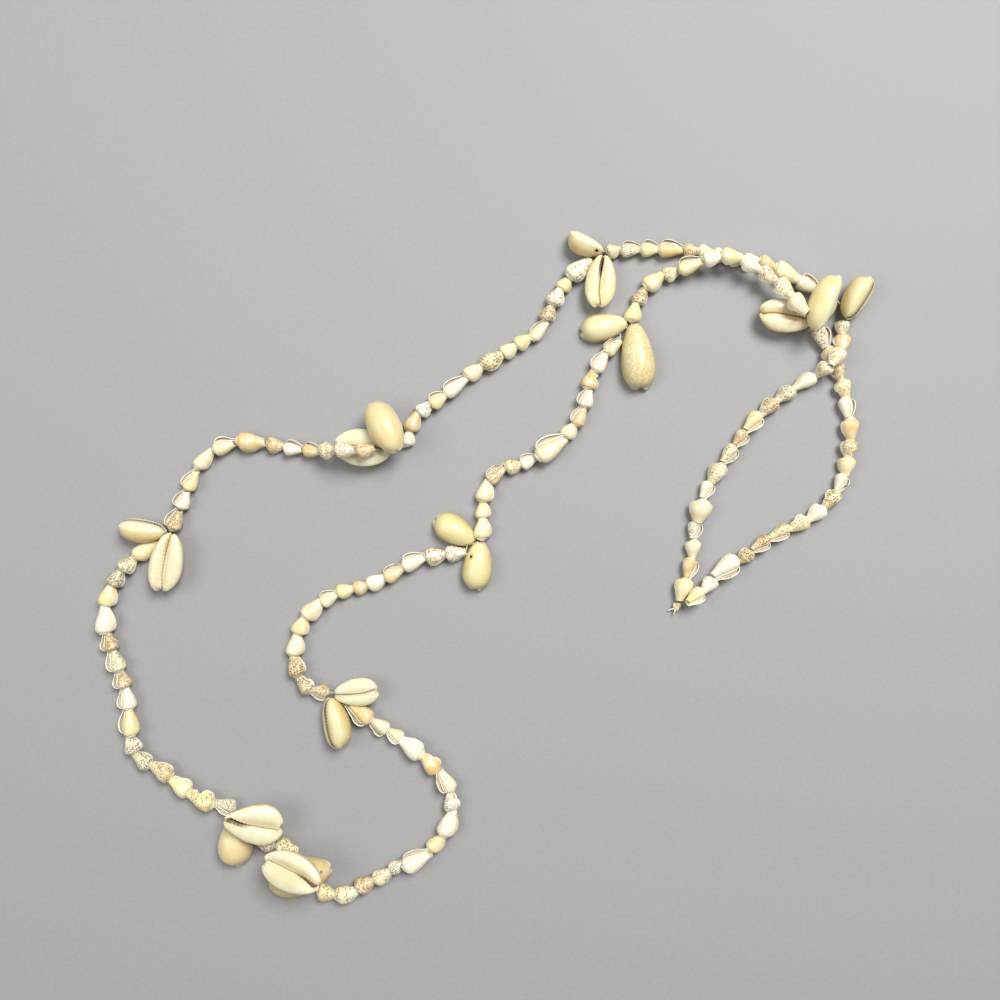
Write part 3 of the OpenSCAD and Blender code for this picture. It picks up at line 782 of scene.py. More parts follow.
def thread_material(name, colour, darker_tone, twist):
    """Soft twisted thread, soiled in patches and darker in the grooves between its plies."""
    material, graph = new_material(name)
    ply = graph.group("Twisted ply", Along=graph.attribute("along"),
                      Around=graph.attribute("around"), Twist=twist)
    soiled = graph.group("Soft stain", Place=graph.place(), Scale=500.0, Amount=0.7)["Stain"]
    # Soiled patches, then darker in the grooves between the plies
    shade = graph.layers(colour, (soiled, 1, darker_tone),
                         (graph.band(ply["Height"], 0.3, -0.4, 0.0, 0.6), 1, darker_tone))
    roughness = graph.plus(0.6, graph.times(ply["Fuzz"], 0.3))
    finish_material(graph, shade, roughness, ply["Height"], bump=0.9, distance=0.10 * MM,
                    Sheen_Weight=0.3)
    return material


def floor_material(colours):
    """A plain floor with a fine grain."""
    material, graph = new_material("Pale floor")
    grain = graph.noise(graph.place(), 700.0, 4.0)
    colour = graph.mix(graph.times(grain, 0.08), tone(colours, "floor"), (1.0, 1.0, 1.0, 1.0))
    finish_material(graph, colour, graph.plus(0.62, graph.times(grain, 0.15)), grain, bump=0.15,
                    distance=0.1 * MM)
    return material


def geometry_tree(name, inputs):
    """A new geometry tree with named inputs, each as (kind of socket, default or None)."""
    tree = bpy.data.node_groups.new(name, "GeometryNodeTree")
    tree.interface.new_socket("Geometry", in_out="INPUT", socket_type="NodeSocketGeometry")
    for label, (kind, default) in inputs.items():
        socket = tree.interface.new_socket(label, in_out="INPUT", socket_type=kind)
        if default is not None:
            socket.default_value = default
    tree.interface.new_socket("Geometry", in_out="OUTPUT", socket_type="NodeSocketGeometry")
    return tree, Graph(tree)


def close_tree(graph, geometry, material):
    """Ends a geometry tree in plain geometry with its material."""
    real = graph.node("GeometryNodeRealizeInstances", {"Geometry": geometry}).outputs[0]
    named = graph.node("GeometryNodeSetMaterial", {"Geometry": real, "Material": material})
    graph.node("NodeGroupOutput", {"Geometry": named.outputs[0]})


def snail_tree():
    """Puts one of the snail forms on every point, by the point's own form, turn and size."""
    tree, graph = geometry_tree("String of snail shells", {
        "Forms": ("NodeSocketCollection", None), "Size": ("NodeSocketFloat", 1.0),
        "Material": ("NodeSocketMaterial", None)})
    given = graph.node("NodeGroupInput").outputs

    def named(kind, name):
        node = graph.node("GeometryNodeInputNamedAttribute", {"Name": name}, data_type=kind)
        return next(socket for socket in node.outputs if socket.enabled)

    forms = graph.node("GeometryNodeCollectionInfo", {
        "Collection": given["Forms"], "Separate Children": True, "Reset Children": True})
    size = graph.node("ShaderNodeVectorMath", {0: named("FLOAT_VECTOR", "size"), 3: given["Size"]},
                      operation="SCALE")
    placed = graph.node("GeometryNodeInstanceOnPoints", {
        "Points": given["Geometry"], "Instance": forms.outputs[0], "Pick Instance": True,
        "Instance Index": named("INT", "form"), "Rotation": named("QUATERNION", "turned"),
        "Scale": size.outputs[0]})
    close_tree(graph, placed.outputs[0], given["Material"])
    return tree


THREAD_TREE = "Thread along a line"


def thread_tree():
    """A round thread along the piece's edges, with its bends rounded, built once."""
    if THREAD_TREE in bpy.data.node_groups:
        return bpy.data.node_groups[THREAD_TREE]
    tree, graph = geometry_tree(THREAD_TREE, {
        "Radius": ("NodeSocketFloat", 0.25 * MM), "Bend": ("NodeSocketFloat", 0.9 * MM),
        "Sides": ("NodeSocketInt", 8), "Material": ("NodeSocketMaterial", None)})
    given = graph.node("NodeGroupInput").outputs

    def stored(geometry, name, value):
        node = graph.node("GeometryNodeStoreNamedAttribute", {"Geometry": geometry, "Name": name},
                          data_type="FLOAT", domain="POINT")
        value_input = next(socket for socket in node.inputs
                           if socket.name == "Value" and socket.enabled)
        graph.give(value_input, value)
        return node.outputs[0]

    line = graph.node("GeometryNodeMeshToCurve", {"Mesh": given["Geometry"]}).outputs[0]
    rounded = graph.node("GeometryNodeFilletCurve", {"Curve": line, "Radius": given["Bend"],
                                                     "Limit Radius": True})
    if "Mode" in rounded.inputs:
        rounded.inputs["Mode"].default_value = "Poly"
    else:
        rounded.mode = "POLY"
    rounded.inputs["Count"].default_value = 5
    measure = graph.node("GeometryNodeSplineParameter").outputs["Length"]
    line = stored(rounded.outputs[0], "along", measure)
    ring = graph.node("GeometryNodeCurvePrimitiveCircle", {"Resolution": given["Sides"],
                                                           "Radius": given["Radius"]},
                      mode="RADIUS").outputs[0]
    turn = graph.node("GeometryNodeSplineParameter").outputs["Factor"]
    ring = stored(ring, "around", turn)
    tube = graph.node("GeometryNodeCurveToMesh", {"Curve": line, "Profile Curve": ring,
                                                  "Fill Caps": True}).outputs[0]
    smooth = graph.node("GeometryNodeSetShadeSmooth", {"Geometry": tube}).outputs[0]
    close_tree(graph, smooth, given["Material"])
    return tree


def run_tree(piece, tree, name, **inputs):
    """Runs a geometry tree on a piece and returns the plain result."""
    modifier = piece.modifiers.new(tree.name, "NODES")
    modifier.node_group = tree
    for item in tree.interface.items_tree:
        if item.item_type == "SOCKET" and item.in_out == "INPUT" and item.name in inputs:
            modifier[item.identifier] = inputs[item.name]
    return with_modifiers_applied(piece, name)


# Small snail shells

# Outline of the last whorl at the lip, from the suture to the tip: distance from the axis as a
# share of the radius, distance from the spire end as a share of the length
WHORL_OUTLINE = [(0.62, 0.135), (0.76, 0.145), (0.92, 0.205), (1.0, 0.30), (1.0, 0.39),
                 (0.95, 0.51), (0.84, 0.63), (0.69, 0.74), (0.55, 0.85), (0.46, 0.94), (0.42, 1.0)]
# The outline's inner side meets it here at the tip, and lies this far over the whorl behind
INNER_TIP = (0.25, 0.985)
WHORL_GAP = 0.02
# Points of the outline and of its inner side
OUTLINE_POINTS, INNER_POINTS = 17, 8
# The coil shrinks towards this height, and its front end, from a height on, less by this share
COIL_TOP = -0.10
CANAL_FROM, CANAL_HOLD = 0.3, 0.65
# A shell's length over its radius, near enough to weigh its two measures against each other
ASPECT = 2.7
# The middle of the whorl is looked for between these heights
WHORL_LOW, WHORL_HIGH = 0.27, 0.93
# The wall inside the mouth and how much thicker it is at the lip, as shares of the radius, and the
# turns in which the lip's flare and its thickness fade and which the lining goes in
LINING_WALL, LIP_WALL = 0.045, 0.035
LIP_FADE, LINING_TURNS = 0.03, 0.06
# The lip's flare and the ribs come in along the first heights and go along the second
CROWN_RISE, CROWN_FALL = (0.12, 0.3), (0.6, 0.95)
# How far in towards the middle of the whorl a wall may go, and a point's least height
MOST_INWARD, LEAST_HEIGHT = 0.62, 0.004
# A chip in the lip: its height, how far it spreads, and the turns over which it closes
CHIP_AT, CHIP_SPREAD, CHIP_TURNS = 0.62, 0.09, 0.3
SHARP_ANGLE = 55


def coiled(rho, height, turns, growth):
    """A point of the lip's outline some turns back along the coil."""
    shrink = growth ** -turns
    hold = 1 - CANAL_HOLD * smooth_step(height, CANAL_FROM, 1.0)
    return rho * shrink, COIL_TOP + (height - COIL_TOP) * shrink ** hold


def snail_form(name, settings, ribs=0, rib_height=0.0, chip=0.0, squat=0.0, per_turn=20):
    """One hollow coiled shell of radius and length 1, spire end at the origin, mouth to +X."""
    outline = spread(smooth_curve(WHORL_OUTLINE, 6), OUTLINE_POINTS)
    back_rho, back_height = coiled(outline[:, 0], outline[:, 1], 1.0, settings.growth)
    behind = back_height > outline[0, 1] + WHORL_GAP
    inner_side = np.stack([back_rho[behind] + WHORL_GAP, back_height[behind]], axis=1)[::-1]
    inner_side = spread(inner_side, INNER_POINTS)
    loop = np.concatenate([outline, [INNER_TIP], inner_side])
    count = len(loop)
    outer_part = (np.arange(count) < len(outline)).astype(float)
    row = np.arange(count) / count
    rho, height = loop[:, 0], loop[:, 1] ** (1 + squat)

    order = np.argsort(inner_side[:, 1])
    level = np.clip(height, WHORL_LOW, WHORL_HIGH)
    opposite = np.interp(level, inner_side[order, 1], inner_side[order, 0])
    facing_side = np.interp(level, outline[:, 1], outline[:, 0])
    centre = np.stack([(opposite + facing_side) / 2, np.clip(height, WHORL_LOW, 0.90)], axis=1)
    inward = centre - np.stack([rho, height], axis=1)
    inward_size = np.maximum(np.hypot(inward[:, 0], inward[:, 1] * ASPECT), 1e-6)

    def ring(turns, wall):
        share = np.minimum(wall / inward_size, MOST_INWARD)
        here_rho, here_height = rho + inward[:, 0] * share, height + inward[:, 1] * share
        crown = (smooth_step(here_height, *CROWN_RISE)
                 * (1 - smooth_step(here_height, *CROWN_FALL)))
        flare = settings.lip * math.exp(-turns / LIP_FADE)
        rib = rib_height * math.cos(math.pi * ribs * turns) ** 2
        bite = np.exp(-((here_height - CHIP_AT) / CHIP_SPREAD) ** 2) * outer_part
        back = turns + chip * bite * max(0.0, 1 - turns / CHIP_TURNS)
        here_rho = here_rho * (1 + crown * outer_part * (flare + rib))
        out_rho, out_height = coiled(here_rho, here_height, back, settings.growth)
        angle = -math.pi / 2 - 2 * math.pi * back
        return np.stack([out_rho * np.cos(angle), out_rho * np.sin(angle),
                         np.maximum(out_height, LEAST_HEIGHT)], axis=1)

    outer_turns = np.linspace(settings.whorls, 0, round(settings.whorls * per_turn) + 1)
    lining_turns = np.linspace(0, LINING_TURNS, 4)
    rings = [ring(turns, 0.0) for turns in outer_turns]
    rings += [ring(turns, LINING_WALL + LIP_WALL * math.exp(-turns / LIP_FADE))
              for turns in lining_turns]
    turns_of = np.concatenate([outer_turns, lining_turns])
    inside_of = np.concatenate([np.zeros(len(outer_turns)), np.ones(len(lining_turns))])

    points = np.concatenate(rings)
    faces = ring_faces(len(rings), count)
    last = (len(rings) - 1) * count
    for first, ring_points, turn_round in ((0, rings[0], True), (last, rings[-1], False)):
        points = np.concatenate([points, ring_points.mean(0, keepdims=True)])
        for i in range(count):
            pair = (first + i, first + (i + 1) % count)
            faces.append((*(reversed(pair) if turn_round else pair), len(points) - 1))
    middle = (points[:, :2].max(0) + points[:, :2].min(0)) / 2
    radius = (points[:, :2].max(0) - points[:, :2].min(0)).mean() / 2
    points[:, :2] = (points[:, :2] - middle) / radius
    points[:, 2] /= points[:, 2].max()

    faces = turned_outwards(points * (1, 1, ASPECT), faces)
    mesh = new_mesh(name, points, faces, SHARP_ANGLE)
    coil = np.zeros((len(points), 3))
    coil[:-2] = np.stack([np.repeat(turns_of, count), np.tile(row, len(rings)),
                          np.repeat(inside_of, count)], axis=1)
    coil[-2:] = [(settings.whorls, 0.5, 0), (lining_turns[-1], 0.5, 1)]
    give_points(mesh, "coil", "FLOAT_VECTOR", coil)
    return mesh


# The forms of the small shells: four plain ones, a ribbed one and one with a broken lip
FORM_SHAPES = [
    {}, {"squat": 0.10}, {"squat": -0.08}, {"squat": 0.04, "chip": 0.05},
    {"ribs": 10, "rib_height": 0.06, "per_turn": 40}, {"chip": 0.13},
]
PLAIN_FORMS, RIBBED_FORM, CHIPPED_FORM = (0, 1, 2, 3), 4, 5


def snail_points(strands, settings, colours, chance):
    """A mesh of one point for each shell of the strands, with what tree and material need."""
    places, turned, sizes, forms, shades, spots, chances = [], [], [], [], [], [], []
    for strand in strands:
        _, mouths, looks, _ = STRANDS[strand]
        for i, (start, direction, long, radius) in enumerate(strand_places(strand)):
            turn = math.radians(MOUTHS[mouths[i]]) + chance.uniform(-1, 1) * settings.swing
            turned.append(tuple(facing(direction, turn).to_quaternion()))
            places.append(start * MM)
            sizes.append(np.array([radius, radius, long * settings.nesting]) * MM)
            plain = chance.choice(PLAIN_FORMS)
            forms.append(RIBBED_FORM if (strand, i) in RIBBED else
                         CHIPPED_FORM if (strand, i) in CHIPPED else plain)
            shades.append(tone(colours, SHADES[looks[i].lower()]))
            spots.append(chance.uniform(*(MANY_DOTS if looks[i].isupper() else FEW_DOTS)))
            chances.append(chance.random())
    mesh = plain_mesh("snail points", places)
    give_points(mesh, "turned", "QUATERNION", turned)
    give_points(mesh, "size", "FLOAT_VECTOR", sizes)
    give_points(mesh, "form", "INT", forms)
    give_points(mesh, "shade", "FLOAT_COLOR", shades)
    give_points(mesh, "spots", "FLOAT", spots)
    give_points(mesh, "chance", "FLOAT", chances)
    return mesh


class NECKLACE_OT_string_snails(bpy.types.Operator):
    """Strings the small snail shells of every strand, each strand joined in one piece"""
    bl_idname = "necklace.string_snails"
    bl_label = "String the snail shells"

    def execute(self, context):
        settings, colours = context.scene.necklace_snails, context.scene.necklace_colours
        chance = random.Random(settings.seed)
        forms = bpy.data.collections.new("snail forms")
        for i, shape in enumerate(FORM_SHAPES):
            new_object(f"form_{i}", snail_form(f"form_{i}", settings, **shape), forms)
        material, tree = snail_material(colours), snail_tree()
        for node, strands in STRINGS.items():
            mesh = snail_points([strand for strand, _ in strands], settings, colours, chance)
            piece = run_tree(new_object("points", mesh), tree, f"{node}_finish", Forms=forms,
                             Size=settings.size, Material=material)
            keep_in_frame(piece, node)
        for form in list(forms.objects):
            bpy.data.objects.remove(form)
        bpy.data.collections.remove(forms)
        return {"FINISHED"}


# Cowries

# Rows along a cowrie, and points of one row's outer skin, of its lining and down each lip
ROWS, OUTER_RING, INNER_RING, LIP_STEPS = 84, 38, 19, 5
# Round a row, the map runs from 0 to 1 over the outer skin, then down a lip, over the lining and
# up the other lip to the seam
FIRST_LIP_MAP, LINING_MAP, OTHER_LIP_MAP, SEAM_MAP = (1.0, 1.1), (1.15, 1.95), (2.0, 2.08), 2.12
# The base's cross-section is a superellipse of this power
SQUARENESS = 2.3
# The least room that is left between the axis and the lining of the base
LEAST_ROOM = 0.6 * MM
# How far from a lip's edge its teeth fade
TEETH_FADE = 0.8 * MM
# How far from straight down the lining ends, in radians
LINING_EDGE = 0.3


def egg(share, taper, blunt):
    """A cowrie's radius along its length, from the narrow end, as a share of half its width."""
    def plain(t):
        return np.maximum(4 * t * (1 - t), 0) ** blunt * (1 - taper + 2 * taper * t)
    return plain(share) / plain(np.linspace(0, 1, 101)).max()


def softly_least(a, b):
    """The smaller of two values, rounded where they meet."""
    return (np.maximum(a, 1e-9) ** -4 + b ** -4) ** -0.25


def from_slit():
    """Places round a row from one lip to the other, from 0 to 1, closer together at the lips."""
    even = np.linspace(0, 1, OUTER_RING)
    return np.where(even < 0.5, 0.5 * (2 * even) ** 1.55, 1 - 0.5 * (2 * (1 - even)) ** 1.55)


class CowrieShape:
    """One hollow cowrie as rows of points along it, narrow end at the origin and back up."""

    def __init__(self, long, width, high, ends, look, settings, chance):
        self.long, self.width, self.ends = long, width, ends
        self.settings, self.full = settings, look["full"]
        step = np.linspace(0, 1, ROWS)
        share = 0.4 * (1 - np.cos(math.pi * step)) / 2 + 0.6 * step
        share[0], share[-1] = 0.0, 1.0
        radius = width / 2 * egg(share, *ends)
        self.share, self.radius = share, radius
        self.axis_height = high - width / 2
        self.depth = softly_least(radius, self.axis_height)
        self.roll = np.minimum(settings.roll, 0.24 * radius)
        gape = (0.06 + 0.16 * look["line"]
                + look["gape"] * (0.08 + 0.92 * smooth_step(share, 0.5, 0.25))
                + 0.15 * smooth_step(share, 0.92, 1))
        self.gap = np.minimum(settings.slit * gape, 0.16 * radius)
        bow = width * (0.035 * np.sin(math.pi * share) - 0.05 * smooth_step(share, 0.72, 1.0)
                       + 0.12 * look["slant"] * np.sin(2 * math.pi * share))
        self.bow = np.clip(bow + look["slant"] * width * (share - 0.5), -0.42 * radius,
                           0.42 * radius)
        self.phase = 2 * math.pi * settings.teeth * share
        tooth = settings.tooth * smooth_step(share, 0.03, 0.12) * smooth_step(share, 0.98, 0.9)
        self.tooth = tooth * (0.4 + 0.6 * smooth_step(share, 0.6, 0.3))
        self.wobble = [chance.uniform(0, 2 * math.pi) for _ in range(4)]

    def teeth(self, i):
        """How far the teeth of the two lips stand out in a row, from -0.5 to 0.5."""
        left = 0.5 + 0.5 * math.sin(self.phase[i])
        right = 0.5 + 0.5 * math.sin(self.phase[i] + math.pi * 0.6)
        return left - 0.5, right - 0.5

    def outer_skin(self, i):
        """A row's turns about the axis from straight down, and its points there."""
        r, share, width, bow = self.radius[i], self.share[i], self.width, self.bow[i]
        reach = self.gap[i] + self.roll[i]
        edges = [np.sign(y) * math.asin(min(abs(y) / max(r, 1e-9), 1.0) ** (SQUARENESS / 2))
                 for y in (bow + reach, bow - reach)]
        psi = edges[0] + from_slit() * (edges[1] + 2 * math.pi - edges[0])
        side, lift = np.sin(psi), -np.cos(psi)
        below = lift < 0
        y = np.where(below, np.sign(side) * np.abs(side) ** (2 / SQUARENESS), side) * r
        z = np.where(below, -np.abs(lift) ** (2 / SQUARENESS) * self.depth[i], lift * r)
        from_down = np.abs(np.where(psi > math.pi, 2 * math.pi - psi, psi))
        margin = 1 + 0.035 * np.exp(-((from_down - 1.35) / 0.35) ** 2)
        swell = 1 + 0.012 * (np.sin(5 * share + self.wobble[0] + np.cos(psi))
                             + np.sin(9 * share + 2 * psi + self.wobble[1]))
        y, z = y * margin * np.where(below, 1, swell), z * np.where(below, 1, swell)

        end_radius = 0.36 * width / 2
        lobe = self.settings.lobe * width * (r / end_radius) * math.exp(1 - r / end_radius)
        lobe_side = np.exp(-((from_down - 1.1) / 0.40) ** 2)
        longer = np.where(psi < math.pi, 1.4, 0.9)
        x = self.long * share + (lobe * longer if share > 0.5 else -0.7 * lobe) * lobe_side
        sunk = self.settings.valley * self.full * min(1.0, 2.5 * r / width)
        z = z + np.where(below, sunk * np.exp(-((y - bow) / (0.16 * width)) ** 2), 0)
        near = np.exp(-(np.abs(y - bow) - reach).clip(0) / TEETH_FADE) * below
        z = z - self.tooth[i] * np.where(psi < math.pi, *self.teeth(i)) * near
        return psi, np.stack([x, y, z], axis=1)

    def lining_x(self, i):
        wall = self.settings.wall
        return wall + (self.long - 2 * wall) * self.share[i]

    def lip(self, i, sign, edge, tooth):
        """A row's lip, rolled in from the edge point of the outer skin."""
        beta = np.linspace(0, math.pi / 2, LIP_STEPS + 1)[1:]
        bulge = self.tooth[i] * tooth
        x = np.linspace(edge[0], self.lining_x(i), LIP_STEPS + 2)[1:-1]
        y = self.bow[i] + sign * (self.gap[i] + self.roll[i] * (1 - np.sin(beta)) - bulge)
        return np.stack([x, y, edge[2] + self.roll[i] * (1 - np.cos(beta))], axis=1)

    def lining(self, i):
        """A row's points on the wall of the hollow."""
        settings = self.settings
        r = (self.width / 2 - settings.wall) * egg(self.share[i], *self.ends)
        depth = softly_least(r, max(self.axis_height - 2 * settings.roll, LEAST_ROOM))
        psi = np.linspace(2 * math.pi - LINING_EDGE, LINING_EDGE, INNER_RING)
        y, z = np.sin(psi) * r, -np.cos(psi)
        z = np.where(z < 0, -np.abs(z) ** (2 / SQUARENESS) * depth, z * r)
        edge = self.gap[i] + 0.2 * self.roll[i]
        y[0], y[-1] = self.bow[i] - edge, self.bow[i] + edge
        return np.stack([np.full(INNER_RING, self.lining_x(i)), y, z], axis=1)

    def tip(self, i):
        """An end row, drawn together in one point outside and one inside."""
        outer = np.array([self.long * self.share[i], 0, 0])
        inner = np.array([self.lining_x(i), 0, 0])
        lip = outer + (inner - outer) * np.linspace(0, 1, LIP_STEPS + 2)[1:-1, None]
        return np.concatenate([np.tile(outer, (OUTER_RING, 1)), lip,
                               np.tile(inner, (INNER_RING, 1)), lip[::-1]])

    def row(self, i):
        """A row's points, and their places on the map round it."""
        psi, outer = self.outer_skin(i)
        left, right = self.teeth(i)
        if i in (0, ROWS - 1):
            points = self.tip(i)
        else:
            points = np.concatenate([outer, self.lip(i, -1, outer[-1], right), self.lining(i),
                                     self.lip(i, 1, outer[0], left)[::-1]])
        rounds = np.concatenate([psi / (2 * math.pi), np.linspace(*FIRST_LIP_MAP, LIP_STEPS),
                                 np.linspace(*LINING_MAP, INNER_RING),
                                 np.linspace(*OTHER_LIP_MAP, LIP_STEPS)])
        return points, rounds


def cowrie_mesh(name, shape):
    """The closed mesh of a cowrie's shape, with its map of places along and round it."""
    rows = [shape.row(i) for i in range(ROWS)]
    points, rounds = (np.concatenate(part) for part in zip(*rows))
    count = OUTER_RING + INNER_RING + 2 * LIP_STEPS
    mesh = plain_mesh(name, points, faces=turned_outwards(points, ring_faces(ROWS, count)))
    layer = mesh.uv_layers.new(name="shell_map")
    corner_points = np.array([loop.vertex_index for loop in mesh.loops])
    columns = corner_points % count
    on_seam = (columns == count - 1).reshape(-1, 4).any(axis=1)
    rounds = np.where(np.repeat(on_seam, 4) & (columns == 0), SEAM_MAP, rounds[corner_points])
    places = np.stack([shape.share[corner_points // count], rounds], axis=1)
    layer.uv.foreach_set("vector", places.ravel())
    merged = bmesh.new()
    merged.from_mesh(mesh)
    bmesh.ops.remove_doubles(merged, verts=merged.verts, dist=1e-6)
    merged.to_mesh(mesh)
    merged.free()
    mesh.shade_smooth()
    return mesh


def tube_mesh(name, points, radius, sides=12):
    """A closed tube along a short line, with mitred bends, as a tool for cutting holes."""
    points = np.array(points, float)
    rings = []
    for i, point in enumerate(points):
        before = points[i] - points[max(i - 1, 0)]
        after = points[min(i + 1, len(points) - 1)] - points[i]
        ways = [way / np.linalg.norm(way) for way in (before, after) if np.linalg.norm(way) > 0]
        tangent = Vector(sum(ways) / len(ways)).normalized()
        if i == 0:
            across = tangent.orthogonal().normalized()
        else:
            across = (across - tangent * across.dot(tangent)).normalized()
        other = tangent.cross(across)
        angles = np.arange(sides) * 2 * math.pi / sides
        rings.append([np.array(point) + radius * (np.array(across) * math.cos(angle)
                                                  + np.array(other) * math.sin(angle))
                      for angle in angles])
    verts = np.concatenate(rings)
    last = (len(rings) - 1) * sides
    caps = [tuple(reversed(range(sides))), tuple(range(last, last + sides))]
    faces = turned_outwards(verts, ring_faces(len(rings), sides) + caps)
    return new_mesh(name, verts, faces)


def drilled(piece, name, tools):
    """The piece with the tools' shapes cut away."""
    cutters = [new_object(f"tool_{i}", mesh) for i, mesh in enumerate(tools)]
    for cutter in cutters:
        cut = piece.modifiers.new("drill", "BOOLEAN")
        cut.operation = "DIFFERENCE"
        cut.solver = "MANIFOLD"
        cut.object = cutter
    result = with_modifiers_applied(piece, name)
    for cutter in cutters:
        bpy.data.objects.remove(cutter)
    return result


class NECKLACE_OT_add_cowries(bpy.types.Operator):
    """Adds the drilled cowries of every pair, each a piece of its own"""
    bl_idname = "necklace.add_cowries"
    bl_label = "Add the cowries"

    def execute(self, context):
        settings, colours = context.scene.necklace_cowries, context.scene.necklace_colours
        chance = random.Random(context.scene.necklace_snails.seed + 1)
        for node, row in COWRIES.items():
            at, heading, pitch, roll, long, width, high, taper, blunt, look = row
            look = LOOKS[look]
            shape = CowrieShape(long * MM, width * MM, high * MM, (taper, blunt), look, settings,
                                chance)
            mesh = cowrie_mesh(node, shape)
            pose = (Matrix.Translation(Vector(at) * MM)
                    @ Matrix.Rotation(math.radians(heading), 4, "Z")
                    @ Matrix.Rotation(math.radians(-pitch), 4, "Y")
                    @ Matrix.Rotation(math.radians(roll), 4, "X"))
            mesh.transform(pose)
            pair = node.split("_")[1]
            tools = [tube_mesh("way", np.array(WAYS[pair]) * MM, settings.drill / 2)]
            hole = None
            if node in SECOND_HOLES:
                hole_at, turn = SECOND_HOLES[node]
                turn = math.radians(turn)
                foot = Vector((hole_at * MM, 0, 0))
                out = Vector((0, -math.sin(turn), math.cos(turn))) * width * MM
                tools.append(tube_mesh("hole", [pose @ foot, pose @ (foot + out)],
                                       settings.drill / 2))
                skin = float(egg(np.array(hole_at / long), taper, blunt))
                hole = pose @ (foot + out * skin / 2)
            piece = drilled(new_object(node, mesh), f"{node}_finish", tools)
            piece.data.materials.clear()
            piece.data.materials.append(
                cowrie_material(f"{node} shell", look, settings.teeth, hole, colours))
            keep_in_frame(piece, node)
        return {"FINISHED"}


# Thread and knot

def line_mesh(name, lines):
    """A mesh of plain edges along each line of points."""
    points, edges = [], []
    for line in lines:
        edges += [(len(points) + i, len(points) + i + 1) for i in range(len(line) - 1)]
        points += list(line)
    return plain_mesh(name, points, edges)


class NECKLACE_OT_run_thread(bpy.types.Operator):
    """Runs the thread through every strand and on through the pairs"""
    bl_idname = "necklace.run_thread"
    bl_label = "Run the thread"

    def execute(self, context):
        settings, colours = context.scene.necklace_thread, context.scene.necklace_colours
        tree = thread_tree()
        material = thread_material("Thread", tone(colours, "thread"), tone(colours, "tan"),
                                   FINE_TWIST)
        for node, strands in STRINGS.items():
            lines = []
            for strand, pair in strands:
                line = []
                for start, direction, long, _ in strand_places(strand):
                    line += [start + direction * long * share for share in THREAD_BENDS]
                lines.append(np.array(line + (WAYS[pair] if pair else [])) * MM)
            thread = new_object("thread", line_mesh("thread", lines))
            piece = run_tree(thread, tree, f"{node}_thread", Radius=settings.diameter / 2,
                             Bend=settings.bend, Material=material)
            ride_on_body(piece)
        return {"FINISHED"}


class NECKLACE_OT_tie_knot(bpy.types.Operator):
    """Ties the knot that closes the string, with its two cut ends"""
    bl_idname = "necklace.tie_knot"
    bl_label = "Tie the knot"

    def execute(self, context):
        settings, colours = context.scene.necklace_thread, context.scene.necklace_colours
        t = np.linspace(0, 2 * math.pi, KNOT_POINTS)
        trefoil = np.stack([np.sin(t) + 2 * np.sin(2 * t), np.cos(t) - 2 * np.cos(2 * t),
                            -1.6 * np.sin(3 * t)], axis=1)
        trefoil *= (KNOT_SIZE * MM - settings.knotted) / 6 * np.array(KNOT_STRETCH)
        tails = [smooth_curve([(x, y * side, z) for x, y, z in CUT_END], 4) * MM
                 for side in (1, -1)]
        place = (Matrix.Translation(Vector(KNOT_AT) * MM)
                 @ Matrix.Rotation(math.radians(KNOT_HEADING), 4, "Z"))
        tree = thread_tree()
        waxed = thread_material("Waxed knot", tone(colours, "knot"), tone(colours, "tan"),
                                COARSE_TWIST)
        pale = thread_material("Cut ends", tone(colours, "white"), tone(colours, "thread"),
                               FINE_TWIST)

        def tied(name, lines, diameter, material):
            placed = [[place @ Vector(point) for point in line] for line in lines]
            thread = new_object("thread", line_mesh("thread", placed))
            return run_tree(thread, tree, name, Radius=diameter / 2, Bend=KNOT_BEND,
                            Material=material)

        keep_in_frame(tied("knot_finish", [trefoil], settings.knotted, waxed), "knot")
        ride_on_body(tied("knot_ends", tails, settings.end, pale))
        return {"FINISHED"}


# The stage

def add_area_light(name, at, size, power):
    """A soft square light that looks at the origin."""
    light = bpy.data.lights.new(name, "AREA")
    light.size, light.energy = size, power
    lamp = new_object(name, light)
    lamp.location = at
    lamp.rotation_euler = (-Vector(at)).to_track_quat("-Z", "Y").to_euler()


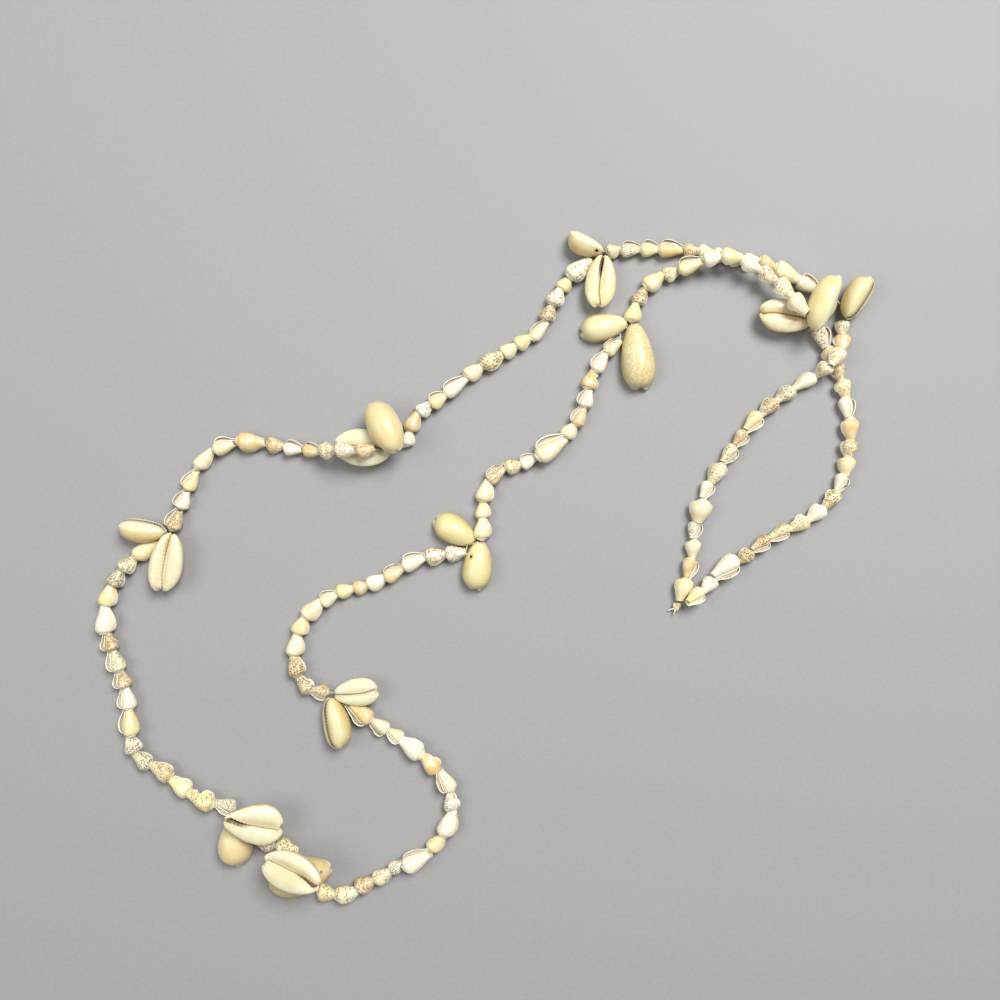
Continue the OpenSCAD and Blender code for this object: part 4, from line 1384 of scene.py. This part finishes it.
class NECKLACE_OT_set_stage(bpy.types.Operator):
    """Sets the camera straight above the necklace, the soft lights and the pale floor"""
    bl_idname = "necklace.set_stage"
    bl_label = "Set the stage"

    def execute(self, context):
        settings, colours = context.scene.necklace_stage, context.scene.necklace_colours
        lens = bpy.data.cameras.new("camera")
        lens.sensor_fit, lens.sensor_width = "HORIZONTAL", SENSOR_WIDTH
        lens.lens = SENSOR_WIDTH * settings.view_height / settings.view_width
        lens.shift_x = (VIEW_MIDDLE[0] - EYE_OVER[0]) * MM / settings.view_width
        lens.shift_y = (VIEW_MIDDLE[1] - EYE_OVER[1]) * MM / settings.view_width
        lens.clip_start = 0.01
        camera = new_object("camera", lens)
        camera.location = (EYE_OVER[0] * MM, EYE_OVER[1] * MM,
                           VIEW_LEVEL * MM + settings.view_height)
        context.scene.camera = camera

        half = settings.floor_size / 2
        corners = [(-half, -half, 0), (half, -half, 0), (half, half, 0), (-half, half, 0)]
        floor = new_object("floor", new_mesh("floor", corners, [(0, 1, 2, 3)]))
        floor.data.materials.append(floor_material(colours))

        add_area_light("key", (0.55, 0.75, 1.4), 0.7, settings.key_power)
        add_area_light("fill", (-0.95, 0.1, 1.3), 0.9, settings.fill_power)
        world = bpy.data.worlds.new("plain sky")
        world.use_nodes = True
        background = world.node_tree.nodes["Background"]
        background.inputs["Color"].default_value = (1.0, 0.985, 0.96, 1.0)
        background.inputs["Strength"].default_value = settings.sky
        context.scene.world = world
        context.scene.view_settings.view_transform = "Standard"
        return {"FINISHED"}


class NECKLACE_PT_panel(bpy.types.Panel):
    """The steps that build the necklace, in order"""
    bl_idname = "NECKLACE_PT_panel"
    bl_label = "Shell Necklace"
    bl_space_type = "VIEW_3D"
    bl_region_type = "UI"
    bl_category = "Necklace"

    def draw(self, context):
        for operator in OPERATORS:
            self.layout.operator(operator.bl_idname)
        for name in SETTINGS:
            box = self.layout.box()
            group = getattr(context.scene, name)
            for key in group.__annotations__:
                box.prop(group, key)


OPERATORS = (NECKLACE_OT_set_stage, NECKLACE_OT_string_snails, NECKLACE_OT_add_cowries,
             NECKLACE_OT_run_thread, NECKLACE_OT_tie_knot)
SETTINGS = {"necklace_snails": SnailSettings, "necklace_cowries": CowrieSettings,
            "necklace_thread": ThreadSettings, "necklace_colours": ColourSettings,
            "necklace_stage": StageSettings}


def register():
    for cls in (*SETTINGS.values(), *OPERATORS, NECKLACE_PT_panel):
        bpy.utils.register_class(cls)
    for name, cls in SETTINGS.items():
        setattr(bpy.types.Scene, name, bpy.props.PointerProperty(type=cls))


def unregister():
    for name in SETTINGS:
        delattr(bpy.types.Scene, name)
    for cls in (NECKLACE_PT_panel, *reversed(OPERATORS), *SETTINGS.values()):
        bpy.utils.unregister_class(cls)


def main():
    register()
    bpy.ops.necklace.set_stage()
    bpy.ops.necklace.string_snails()
    bpy.ops.necklace.add_cowries()
    bpy.ops.necklace.run_thread()
    bpy.ops.necklace.tie_knot()
    bpy.context.view_layer.update()


if __name__ == "__main__":
    main()
